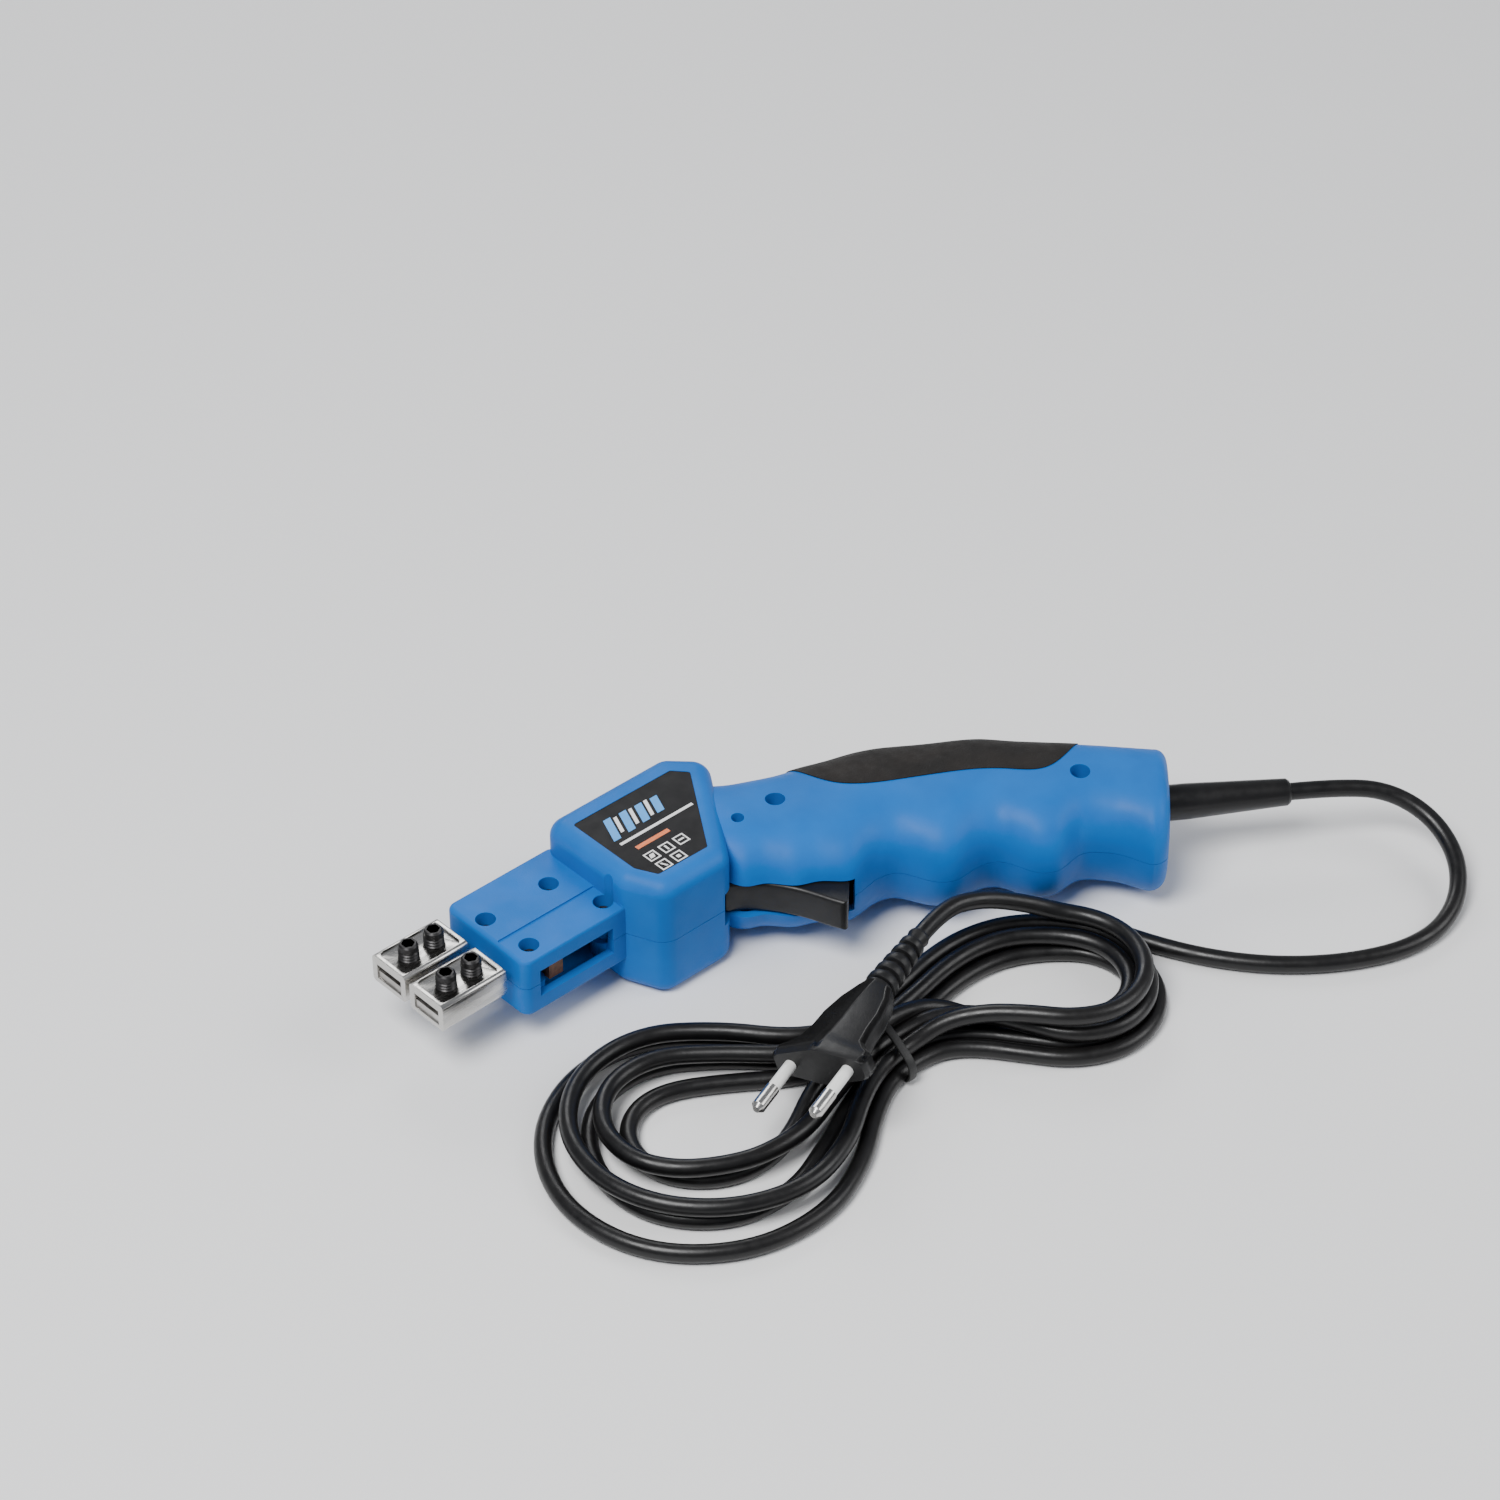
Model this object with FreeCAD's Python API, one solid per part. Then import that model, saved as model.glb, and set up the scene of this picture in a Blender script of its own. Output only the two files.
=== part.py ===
import FreeCAD, Part
import math
import os

V = FreeCAD.Vector
os.makedirs("parts", exist_ok=True)

# A pistol-shaped hot knife of the transformer kind, lying on its right side.
# +X runs from the blade clamps to the tail, +Y towards the tool's back, away from
# the trigger, and +Z up. The floor is z = 0, under the transformer box. Millimetres.

# ---- driving dimensions -------------------------------------------------------
# housing
BOX_HALF = 20.0               # half the transformer box's thickness
BOX_FRONT = -24.5
BOX_BACK = 23.5
BOX_BOTTOM = -23.0
BOX_CORNER = 6.0              # radius of its upright corners
BOX_EDGE = 5.0                # radius round its two flat faces
WALL = 2.5
SEAM = 0.2                    # the gap that shows between the two shells
NOSE_LENGTH = 36.0
NOSE_LOW = -11.5
NOSE_HIGH = 22.8
NOSE_HALF = 10.0
NOSE_CORNER = 3.0
NOSE_EDGE = 1.5
STRIP_EDGE = 1.2              # the lower strip of the nose starts here
STRIP_DEPTH = 0.5
VENT_FROM = -55.0
VENT_TO = -28.4
VENT_HALF = 4.5
LABEL_RECESS = 0.4
LABEL_THICK = 0.3
LABEL_OUTLINE = [(-19, 16), (17.3, 15.8), (21.2, 11.4), (2.3, -16.8), (-15.7, -16.5), (-19, -10)]

# handle: its own axes, u along it and v across it towards the back
HANDLE_RAKE = 34.3
HANDLE_AT = V(26.0, -9.0, 0)
HANDLE_HALF = 18.0
SQUARENESS = 0.70             # of the section's corners; 0.55 would be an ellipse
GROOVE_START = 38.0
GROOVE_PITCH = 29.5
TAIL_PAST_GROOVE = 24.0
TAIL_LEAN = 10.0
TAIL_EDGE = 4.0
INLAY_THICK = 1.5
INLAY_PROUD = 0.3
BOSS_WALL = 1.4
NOSE_BOSS_WALL = 0.6          # thinner, to clear the copper bars

# trigger
TRIGGER_WIDTH = 10.4
TRIGGER_GAP = 0.5             # to the housing on each side
PIVOT_U = -6.0
PIVOT_V = -14.0
PIN_DIAMETER = 3.0
PIN_HALF = 11.0               # half the pin's length
RUN_FIT = 0.05                # radial clearance of what turns or slides
FINGER_TIP_V = -31.9

# switch
SWITCH_FROM_U = 13.5
SWITCH_LENGTH = 27.0
SWITCH_LOW_V = -8.0
SWITCH_DEPTH = 14.0
SWITCH_HALF = 8.0
PLUNGER_U = 18.0
PLUNGER_DIAMETER = 4.0
PLUNGER_OUT = 4.7             # how far it stands out of the switch
PLUNGER_IN = 2.4
PLUNGER_TRAVEL = 3.3

# transformer
CORE_MIDDLE = V(-5.5, 2.5, 0)
CORE_STACK = 17.0
CORE_LEG = 10.0
CORE_WINDOW = 7.5
CORE_SIDE = 5.25
CORE_HALF = 15.5
CORE_YOKE = 5.0
BOBBIN_WALL = 0.8
BOBBIN_GAP = 0.25
WINDING_SIDE = 4.9
WINDING_END = 6.0

# one-turn secondary: a flat copper hairpin whose two ends carry the blade clamps
BAR_WIDTH = 6.4
BAR_THICK = 2.5
BAR_FOOT = 10.0               # its width inside the clamps
BAR_FLOOR = 19.5
BAR_NEAR = -0.1
BAR_PITCH = 16.2
INSULATOR_FROM = -49.5
INSULATOR_TO = -44.5
INSULATOR_RIM = 3.0           # above and below the bars

# blade clamps
CLAMP_LENGTH = 22.5
CLAMP_WIDTH = 14.3
CLAMP_FLOOR = 1.5
CLAMP_ROOF = 2.6
CLAMP_TO_NOSE = 3.0
CLAMP_SIDE_FIT = 0.15
CLAMP_EDGE = 1.2
BLADE_GAP = 2.4
RIM_WIDTH = 1.3
RIM_DEPTH = 0.8
SET_SCREW = 6.0
SET_SCREW_LENGTH = 8.0
SET_SCREW_PITCH = 8.9
SET_SCREW_REACH = 1.2         # how far it stands into the blade gap at rest
HEX_KEY = 3.0

# housing screws: plan place, counterbore, head and shank
CASE_HEAD_GAP = 0.25
CASE_HEAD = 5.3
CASE_HEAD_DEEP = 2.4
CASE_SHANK = 2.9
NECK_HEAD = 3.2
NECK_SHANK = 2.0
LEDGE = 4.0                   # from the parting plane to under each head
LEDGE_THICK = 1.5
SCREW_GRIP = 9.0              # length of thread in the right shell
NOSE_SCREWS = [(-55.9, 10.5), (-33.2, 10.3), (-53.7, -5.4), (-26.7, -5.4)]
HANDLE_SCREWS = [(7.0, 1.0), (95.2, 1.0)]
NECK_SCREW = (-4.7, -5.6)

# mains cord and what holds it
CORD_DIAMETER = 5.2
CORD_V = 4.5
BOOT_START = 5.3              # radius at the housing
BOOT_END = 4.0
BOOT_LENGTH = 36.0
BOOT_FLANGE = 7.5
BORE_FIT = 0.1
SADDLE_U = 102.0
SADDLE_LONG = 7.0
SADDLE_HALF = 8.6
CLAMP_BAR_THICK = 3.0
CLAMP_SHANK = 2.4
CLAMP_HEAD = 4.2
CORD_INNER_FROM = 99.5        # behind the clamp, where the sheath is stripped
WIRE_DIAMETER = 1.8
CORD_ROUTE = [                # from the boot down to the floor and round to the hank
    V(183.5, -112.0, 18.0),
    V(188.5, -125.0, 13.5),
    V(185.0, -138.5, 8.5),
    V(175.0, -148.0, 4.4),
    V(161.5, -152.5, 2.8),
    V(148.0, -151.5, 2.7),
    V(135.0, -146.0, 2.7),
    V(123.0, -138.0, 2.7),
    V(112.5, -128.0, 2.7),
    V(104.0, -116.5, 2.7),
    V(97.5, -104.0, 2.7),
    V(92.5, -90.0, 2.7),
]

# the tied hank: five turns wound counter-clockwise. Each station is a point of the
# bundle's middle line and the room between one lane of cord and the next.
HANK = [
    (53.5, -69.5, 2.8), (40.5, -69.6, 2.75), (27, -72.2, 2.7), (13, -73.65, 2.7), (1, -73.2, 2.7),
    (-13, -67.5, 3.4), (-27, -54, 4.8), (-43, -43, 5.8), (-61, -42, 5.9), (-77, -52, 6.0),
    (-84, -70, 6.3), (-79.5, -88, 6.8), (-65, -101, 7.2), (-47, -104.5, 7.0), (-30, -99.5, 5.6),
    (-14, -91.3, 3.8), (1, -86, 2.7), (14, -85.4, 2.7), (25, -88, 2.75), (34, -95.6, 2.8),
    (41, -105.2, 2.8), (48.4, -115.1, 2.8), (58.4, -120.4, 2.8), (69.6, -119.5, 2.8),
    (78.8, -113, 2.8), (83.6, -102.8, 2.8), (82.8, -91.5, 2.8), (76, -81.5, 2.8), (65.5, -73, 2.8),
]
OUTER_LANE = 2.0              # in rooms from the middle line
LEAD_LANES = {26: 3.4, 27: 2.4}   # where the lead runs in beside the outermost lane
LEFT_LOBE = range(5, 16)
RIGHT_LOBE = range(-10, 2)
HANK_HIGH = 10.7
TIE_AT = V(7, -79.6, 0)
TIE_TURN = -2.0
TIE_WIDE = 3.2
TIE_THICK = 1.2
TIE_INSIDE = [(-14.9, 0), (-15.4, 10.9), (-6.0, 14.5), (6.0, 14.5), (15.4, 10.9), (14.9, 0)]

# plug: flat, two pins, lying on the hank
PLUG_AT = V(-24, -90, 22.5)   # the middle of its face
PLUG_POINTS = V(-0.947, -0.306, -0.05).normalize()
PLUG_ROLL = 20.0
PLUG_WIDE = 35.3
PLUG_THICK = 13.7
PLUG_CORNER = 6.0
PLUG_FACE_LONG = 5.0          # of the wide end piece, before the waist
PLUG_WAIST = 25.0
PLUG_LONG = 34.0
PIN_LONG = 19.0
PIN_ROUND = 4.0
PIN_CORE = 3.0
PIN_ROOT = 6.0                # how far a pin goes into the body
PIN_PITCH = 18.6
SLEEVE_LONG = 10.0
SLEEVE_ROUND = 3.5
TAIL_LONG = 25.0
TAIL_RIBS = 5
PLUG_CORD = [V(57.5, -70.3, 23.0), V(69.5, -76.5, 18.0), V(80.5, -87, 13.4)]

PARTING = BOX_HALF
SHELL_FOOT = PARTING + SEAM / 2
RAKE = math.radians(HANDLE_RAKE)
ALONG = V(math.cos(RAKE), -math.sin(RAKE), 0)
ACROSS = V(math.sin(RAKE), math.cos(RAKE), 0)
UP = V(0, 0, 1)
NOSE_FRONT = BOX_FRONT - NOSE_LENGTH
TAIL_U = GROOVE_START + 2 * GROOVE_PITCH + TAIL_PAST_GROOVE
EPS = 0.01
LOFT_DEGREE = 3
SECTION_STEP = 7.0


# ---- helpers ------------------------------------------------------------------
def save(name, *shapes):
    """Write one node: one solid, or a group of separate ones."""
    solids = []
    for shape in shapes:
        for solid in shape.Solids:
            if not solid.isValid():
                raise ValueError(name + " has a solid that is not valid")
            solids.append(solid)
    whole = solids[0] if len(solids) == 1 else Part.makeCompound(solids)
    whole.exportStep("parts/" + name + ".step")
    volume = sum(s.Volume for s in solids)
    print("%-20s %2d solids %9.1f mm3" % (name, len(solids), volume))
    return whole


def on_handle(u, v, z=PARTING):
    """A point given in the handle's own axes."""
    return HANDLE_AT + ALONG * u + ACROSS * v + UP * z


def block(x0, x1, y0, y1, z0, z1):
    return Part.makeBox(x1 - x0, y1 - y0, z1 - z0, V(x0, y0, z0))


def handle_block(u0, u1, v0, v1, z0, z1):
    """A block square to the handle's axes."""
    solid = block(u0, u1, v0, v1, z0, z1)
    solid.Placement = FreeCAD.Placement(HANDLE_AT, FreeCAD.Rotation(UP, -HANDLE_RAKE))
    return solid


def pillar(place, radius, z0, z1):
    return Part.makeCylinder(radius, z1 - z0, V(place.x, place.y, z0))


def mirrored(shape):
    """The same thing on the other side of the parting plane."""
    return shape.mirror(V(0, 0, PARTING), UP)


def tangent_path(points, radii, closed):
    """Straight runs with a tangent arc of the given radius at each corner."""
    count = len(points)
    edges = []
    corners = range(count) if closed else range(1, count - 1)
    ends = {}
    for i in corners:
        here = points[i]
        back = (points[i - 1] - here).normalize()
        ahead = (points[(i + 1) % count] - here).normalize()
        half = back.getAngle(ahead) / 2
        setback = radii[i] / math.tan(half)
        middle = here + (back + ahead).normalize() * (radii[i] / math.sin(half) - radii[i])
        start = here + back * setback
        stop = here + ahead * setback
        ends[i] = (start, stop)
        edges.append((i, Part.Arc(start, middle, stop).toShape()))
    path = []
    arcs = dict(edges)
    spans = range(count) if closed else range(count - 1)
    for i in spans:
        after = (i + 1) % count
        if i in arcs:
            path.append(arcs[i])
        start = ends[i][1] if i in ends else points[i]
        stop = ends[after][0] if after in ends else points[after]
        if start.distanceToPoint(stop) > EPS:
            path.append(Part.LineSegment(start, stop).toShape())
    return Part.Wire(path)


def rounded_prism(outline, radius, z0, z1):
    """An upright prism on a plan outline, its corners rounded."""
    points = [V(x, y, z0) for x, y in outline]
    if radius > EPS:
        wire = tangent_path(points, [radius] * len(points), True)
    else:
        wire = Part.makePolygon(points + points[:1])
    return Part.Face(wire).extrude(UP * (z1 - z0))


def inset_outline(outline, gap):
    """The outline moved inwards by gap. It runs clockwise as seen from above."""
    count = len(outline)
    lines = []
    for i in range(count):
        (ax, ay), (bx, by) = outline[i], outline[(i + 1) % count]
        run = V(bx - ax, by - ay, 0).normalize()
        lines.append((V(ax, ay, 0) + V(run.y, -run.x, 0) * gap, run))
    corners = []
    for i in range(count):
        (p, r), (q, s) = lines[i - 1], lines[i]
        t = ((q.x - p.x) * s.y - (q.y - p.y) * s.x) / (r.x * s.y - r.y * s.x)
        corners.append((p.x + r.x * t, p.y + r.y * t))
    return corners


def top_edges(solid, z):
    """The edges of the solid that lie in the plane z."""
    return [e for e in solid.Edges if abs(e.BoundBox.ZMin - z) < EPS and abs(e.BoundBox.ZMax - z) < EPS]


def turned(profile, base, axis):
    """A body of revolution; profile is (distance along the axis, radius)."""
    points = [V(profile[0][0], 0, 0)] + [V(s, r, 0) for s, r in profile] + [V(profile[-1][0], 0, 0)]
    face = Part.Face(Part.makePolygon(points + points[:1]))
    solid = face.revolve(V(0, 0, 0), V(1, 0, 0), 360)
    if solid.Volume < 0:
        solid.reverse()
    solid.Placement = FreeCAD.Placement(base, FreeCAD.Rotation(V(1, 0, 0), axis))
    return solid


def tube(points, diameter, bends):
    """A round cord along straight runs joined by tangent arcs."""
    wire = tangent_path(points, bends, False)
    circle = Part.Wire(Part.makeCircle(diameter / 2, points[0], points[1] - points[0]))
    solid = wire.makePipeShell([circle], True, False)
    expected = math.pi * diameter ** 2 / 4 * wire.Length
    share = solid.Volume / expected
    print("   tube %.0f mm long, volume %.4f of section times length" % (wire.Length, share))
    return solid


def easy_bends(points):
    """The largest radius at each corner that its two runs allow."""
    radii = [0.0] * len(points)
    for i in range(1, len(points) - 1):
        back = points[i - 1] - points[i]
        ahead = points[i + 1] - points[i]
        turn = math.pi - back.getAngle(ahead)
        radii[i] = 0.45 * min(back.Length, ahead.Length) / math.tan(turn / 2)
    print("   bend radii in diameters: " + ", ".join("%.1f" % (r / CORD_DIAMETER) for r in radii[1:-1]))
    return radii


# ---- housing ------------------------------------------------------------------
def box_outline():
    """Plan of the transformer box, clockwise from its front back corner."""
    return [
        (BOX_FRONT, BOX_BACK),
        (20.5, BOX_BACK),
        (30.4, BOX_BACK - 9.9),
        (5.3, BOX_BOTTOM),
        (BOX_FRONT + 5.8, BOX_BOTTOM),
        (BOX_FRONT, BOX_BOTTOM + 13.0),
    ]


def box_half(inset, foot):
    """The upper half of the transformer box, moved inwards by inset."""
    top = 2 * BOX_HALF - inset
    solid = rounded_prism(inset_outline(box_outline(), inset), BOX_CORNER - inset, foot, top)
    return solid.makeFillet(BOX_EDGE - inset, top_edges(solid, top))


def nose_half(inset, foot):
    """The upper half of the nose, which carries the copper bars."""
    top = PARTING + NOSE_HALF - inset
    deep = BOX_FRONT + WALL + 1
    outline = [
        (NOSE_FRONT + inset, NOSE_HIGH - inset),
        (deep, NOSE_HIGH - inset),
        (deep, NOSE_LOW + inset),
        (NOSE_FRONT + inset, NOSE_LOW + inset),
    ]
    corner = max(NOSE_CORNER - inset, NOSE_EDGE / 2)
    solid = rounded_prism(outline, corner, foot, top)
    if inset:
        return solid
    return solid.makeFillet(NOSE_EDGE, top_edges(solid, top))


def handle_stations():
    """(u, reach towards the fingers, reach towards the back, lean) of each section."""
    groove = [GROOVE_START + i * GROOVE_PITCH for i in range(3)]
    ridge = [GROOVE_START + (i + 0.5) * GROOVE_PITCH for i in range(2)]
    return [
        (-22.0, 17.0, 18.0, 0),
        (0.0, 22.0, 19.8, 0),
        (12.0, 23.4, 22.8, 0),
        (GROOVE_START - 13, 23.4, 26.8, 0),
        (groove[0], 15.0, 29.5, 0),
        (ridge[0], 21.5, 30.5, 0),
        (groove[1], 14.5, 30.0, 0),
        (ridge[1], 21.5, 27.3, 0),
        (groove[2], 14.3, 22.5, TAIL_LEAN * 0.4),
        (TAIL_U - TAIL_EDGE, 22.6, 17.8, TAIL_LEAN),
    ]


def eased(stations, u, column):
    """One column of the stations at u: a smooth curve that never overshoots them."""
    xs = [s[0] for s in stations]
    ys = [s[column] for s in stations]
    slopes = [(y1 - y0) / (x1 - x0) for x0, x1, y0, y1 in zip(xs, xs[1:], ys, ys[1:])]
    tangents = [slopes[0]]
    for before, after in zip(slopes, slopes[1:]):
        tangents.append(0 if before * after <= 0 else 2 * before * after / (before + after))
    tangents.append(slopes[-1])
    i = max(k for k in range(len(slopes)) if xs[k] <= u + EPS)
    step = xs[i + 1] - xs[i]
    t = (u - xs[i]) / step
    return (
        (1 + 2 * t) * (1 - t) ** 2 * ys[i]
        + t * (1 - t) ** 2 * step * tangents[i]
        + t * t * (3 - 2 * t) * ys[i + 1]
        + t * t * (t - 1) * step * tangents[i + 1]
    )


def handle_sections():
    """Evenly spaced sections that follow the stations."""
    stations = handle_stations()
    first, last = stations[0][0], stations[-1][0]
    count = round((last - first) / SECTION_STEP)
    places = [first + (last - first) * i / count for i in range(count + 1)]
    return [tuple([u] + [eased(stations, u, column) for column in (1, 2, 3)]) for u in places]


def handle_section(station, inset, foot):
    """The upper half of one section of the handle, as a closed wire."""
    u, low, back, lean = station
    mid = (back - low) / 2
    reach = (back + low) / 2 - inset
    rise = HANDLE_HALF - inset
    across = FreeCAD.Rotation(UP, -lean).multVec(ACROSS)

    def at(v, z):
        return HANDLE_AT + ALONG * u + across * v + UP * z

    def quarter(side):
        curve = Part.BezierCurve()
        curve.setPoles([
            at(mid + side * reach, PARTING),
            at(mid + side * reach, PARTING + rise * SQUARENESS),
            at(mid + side * reach * SQUARENESS, PARTING + rise),
            at(mid, PARTING + rise),
        ])
        return curve.toShape()

    corners = [at(mid - reach, PARTING), at(mid - reach, foot),
               at(mid + reach, foot), at(mid + reach, PARTING)]
    lines = [Part.LineSegment(a, b).toShape() for a, b in zip(corners, corners[1:])]
    return Part.Wire(Part.__sortEdges__(lines + [quarter(1), quarter(-1)]))


def handle_half(inset, foot):
    """The upper half of the handle: a loft, and a rounded cap on its tail."""
    sections = handle_sections()
    body = Part.makeLoft([handle_section(s, inset, foot) for s in sections], True, False, False, LOFT_DEGREE)
    u, low, back, lean = sections[-1]
    round_off = TAIL_EDGE - inset
    cap = []
    for angle in range(0, 81, 16):
        turn = math.radians(angle)
        station = (u + round_off * math.sin(turn), low, back, lean)
        cap.append(handle_section(station, inset + round_off * (1 - math.cos(turn)), foot))
    cap = Part.makeLoft(cap, True, False, False, LOFT_DEGREE)
    return body.fuse(cap)


def above(shape, z):
    """What of the shape is above the plane z."""
    return shape.common(block(-200, 300, -300, 200, z, 100))


def housing_half(inset, foot):
    """Box, nose and handle in one, moved inwards by inset and cut off flat at foot."""
    box = box_half(inset, foot - 3)
    nose = nose_half(inset, foot - 4)
    handle = handle_half(inset, foot - 5)
    return above(box.fuse(nose).fuse(handle), foot)


def inlay_region(z0, z1):
    """An upright prism over the rubber inlay, which wraps the handle's back."""
    grooves = 2 * GROOVE_PITCH
    curve = Part.BSplineCurve()
    curve.interpolate([
        on_handle(11.5, 27.5, z0),
        on_handle(17, 13, z0),
        on_handle(26, 5.6, z0),
        on_handle(GROOVE_START + 2, 4.4, z0),
        on_handle(GROOVE_START + 0.3 * grooves, 5.7, z0),
        on_handle(GROOVE_START + 0.6 * grooves, 5.2, z0),
        on_handle(GROOVE_START + 0.79 * grooves, 3.6, z0),
        on_handle(GROOVE_START + 0.93 * grooves, 9.5, z0),
        on_handle(GROOVE_START + 1.07 * grooves, 27, z0),
    ])
    start, stop = curve.StartPoint, curve.EndPoint
    far = [stop + ACROSS * 20, start + ACROSS * 20]
    lines = [Part.LineSegment(a, b).toShape() for a, b in ((stop, far[0]), (far[0], far[1]), (far[1], start))]
    return Part.Face(Part.Wire([curve.toShape()] + lines)).extrude(UP * (z1 - z0))


def screw_places():
    """(plan place, head, shank) of every screw that holds the two shells."""
    nose = [(V(x, y, 0), CASE_HEAD, CASE_SHANK) for x, y in NOSE_SCREWS]
    handle = [(on_handle(u, v, 0), CASE_HEAD, CASE_SHANK) for u, v in HANDLE_SCREWS]
    return nose, handle, [(on_handle(*NECK_SCREW, 0), NECK_HEAD, NECK_SHANK)]


def trigger_slot(z0, z1):
    """The opening that the trigger swings in."""
    end = 26.2
    return handle_block(PIVOT_U - 5, end, -45, PIVOT_V + 6, z0, z1)


def shell_half(outer, cavity):
    """The upper half of the housing with its bosses and pads, before any holes."""
    shell = outer.cut(cavity)
    nose, handle, neck = screw_places()
    inner = []
    for screws, wall, top in ((nose, NOSE_BOSS_WALL, NOSE_HALF), (handle + neck, BOSS_WALL, BOX_HALF)):
        for place, head, shank in screws:
            inner.append(pillar(place, shank / 2 + wall, SHELL_FOOT, PARTING + top - WALL / 2))
            inner.append(pillar(place, head / 2 + BOSS_WALL, PARTING + LEDGE - LEDGE_THICK,
                                PARTING + top - WALL / 2))
    pivot = on_handle(PIVOT_U, PIVOT_V, 0)
    pivot_foot = PARTING + TRIGGER_WIDTH / 2 + TRIGGER_GAP
    inner.append(pillar(pivot, PIN_DIAMETER / 2 + BOSS_WALL, pivot_foot, 2 * BOX_HALF))
    core = CORE_MIDDLE
    inner.append(block(
        core.x - CORE_STACK / 2 + 2, core.x + CORE_STACK / 2 - 2, core.y - 12, core.y + 12,
        PARTING + CORE_HALF, 2 * BOX_HALF - WALL / 2,
    ))
    return shell.fuse([piece.common(outer) for piece in inner])


def front_windows():
    """Openings in the nose's front wall that the copper bars come out of."""
    holes = []
    for row in range(2):
        middle = BAR_NEAR + row * BAR_PITCH
        half = BAR_WIDTH / 2 + BORE_FIT
        holes.append(block(
            NOSE_FRONT - 1, NOSE_FRONT + WALL + 1, middle - half, middle + half,
            BAR_FLOOR - BORE_FIT, BAR_FLOOR + BAR_THICK + BORE_FIT,
        ))
    return holes


def side_vents(z0, z1):
    """The long slot in each side wall of the nose."""
    vents = []
    for y0, y1 in ((NOSE_LOW - 1, NOSE_LOW + WALL + 0.2), (NOSE_HIGH - WALL - 0.2, NOSE_HIGH + 1)):
        vents.append(block(VENT_FROM, VENT_TO, y0, y1, z0, z1))
    return vents


def boot_hole():
    """The bore through the tail for the cord boot, and the bore for the cord."""
    return turned([(TAIL_U - 6, BOOT_START + BORE_FIT), (TAIL_U + 15, BOOT_START + BORE_FIT)],
                  on_handle(0, CORD_V), ALONG)


def housing():
    """Both shells, with the inlay halves and the recess for the label."""
    outer = housing_half(0, SHELL_FOOT)
    cavity = housing_half(WALL, SHELL_FOOT - 1)
    half = shell_half(outer, cavity)

    region = inlay_region(PARTING - 5, 2 * BOX_HALF + 10)
    core = handle_half(INLAY_THICK, SHELL_FOOT - 6)
    beyond_box = handle_block(8, TAIL_U, -40, 60, PARTING - 5, 60)
    region = region.common(beyond_box)
    inlay = above(handle_half(-INLAY_PROUD, SHELL_FOOT - 5), SHELL_FOOT).common(region).cut(core)
    half = half.cut(region.cut(core))

    half = half.cut([trigger_slot(PARTING - 1, PARTING + TRIGGER_WIDTH / 2 + TRIGGER_GAP)])
    half = half.cut(side_vents(PARTING - 1, PARTING + VENT_HALF))
    half = half.cut([pillar(on_handle(PIVOT_U, PIVOT_V, 0), PIN_DIAMETER / 2, PARTING, PARTING + PIN_HALF)])

    left, right = half, mirrored(half)
    nose, handle, neck = screw_places()
    for place, head, shank in nose + handle + neck:
        left = left.cut([
            pillar(place, shank / 2 + BORE_FIT, PARTING - 1, 2 * BOX_HALF),
            pillar(place, head / 2 + CASE_HEAD_GAP, PARTING + LEDGE, 2 * BOX_HALF + 5),
        ])
        right = right.cut(pillar(place, shank / 2, PARTING - SCREW_GRIP - 0.5, PARTING + 1))
    holes = front_windows() + [boot_hole()]
    left = left.cut(holes + [label_prism(LABEL_RECESS, 5), nose_strip()])
    right = right.cut(holes)
    right = right.fuse(cord_saddle().common(mirrored(outer)))
    return left.removeSplitter(), right.removeSplitter(), inlay


def nose_strip():
    """The lower strip on the nose's left face."""
    top = PARTING + NOSE_HALF
    outline = [
        (NOSE_FRONT + 1, STRIP_EDGE),
        (BOX_FRONT, STRIP_EDGE),
        (BOX_FRONT, NOSE_LOW - 3),
        (NOSE_FRONT + 1, NOSE_LOW - 3),
    ]
    return rounded_prism(outline, 0.5, top - STRIP_DEPTH, top + 1)


def label_prism(depth, thick):
    top = 2 * BOX_HALF
    return rounded_prism(LABEL_OUTLINE, 1.0, top - depth, top - depth + thick)


# ---- screws -------------------------------------------------------------------
def case_screw(place, head, shank):
    """A pan-head screw with a cross recess."""
    seat = PARTING + LEDGE
    top = seat + CASE_HEAD_DEEP
    body = turned([
        (0, shank / 2 * 0.5),
        (1.2, shank / 2),
        (LEDGE + SCREW_GRIP, shank / 2),
        (LEDGE + SCREW_GRIP, head / 2),
        (LEDGE + SCREW_GRIP + CASE_HEAD_DEEP * 0.6, head / 2),
        (LEDGE + SCREW_GRIP + CASE_HEAD_DEEP, head / 2 * 0.72),
    ], V(place.x, place.y, seat - LEDGE - SCREW_GRIP), UP)
    slot = head * 0.3
    thin = head * 0.085
    for half_x, half_y in ((slot, thin), (thin, slot)):
        body = body.cut(block(
            place.x - half_x, place.x + half_x, place.y - half_y, place.y + half_y, top - 1.3, top + 1))
    return body


def cord_saddle():
    """A rib in the right shell that the cord is clamped down on."""
    radius = CORD_DIAMETER / 2
    rib = handle_block(SADDLE_U, SADDLE_U + SADDLE_LONG, CORD_V - SADDLE_HALF, CORD_V + SADDLE_HALF,
                       PARTING - HANDLE_HALF, PARTING - radius)
    holes = [pillar(place, CLAMP_SHANK / 2, PARTING - radius - 8, PARTING) for place in cord_clamp_places()]
    return rib.cut(holes)


def cord_clamp_places():
    reach = CORD_DIAMETER / 2 + CLAMP_SHANK / 2 + 1.6
    return [on_handle(SADDLE_U + SADDLE_LONG / 2, CORD_V + side * reach, 0) for side in (-1, 1)]


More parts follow.
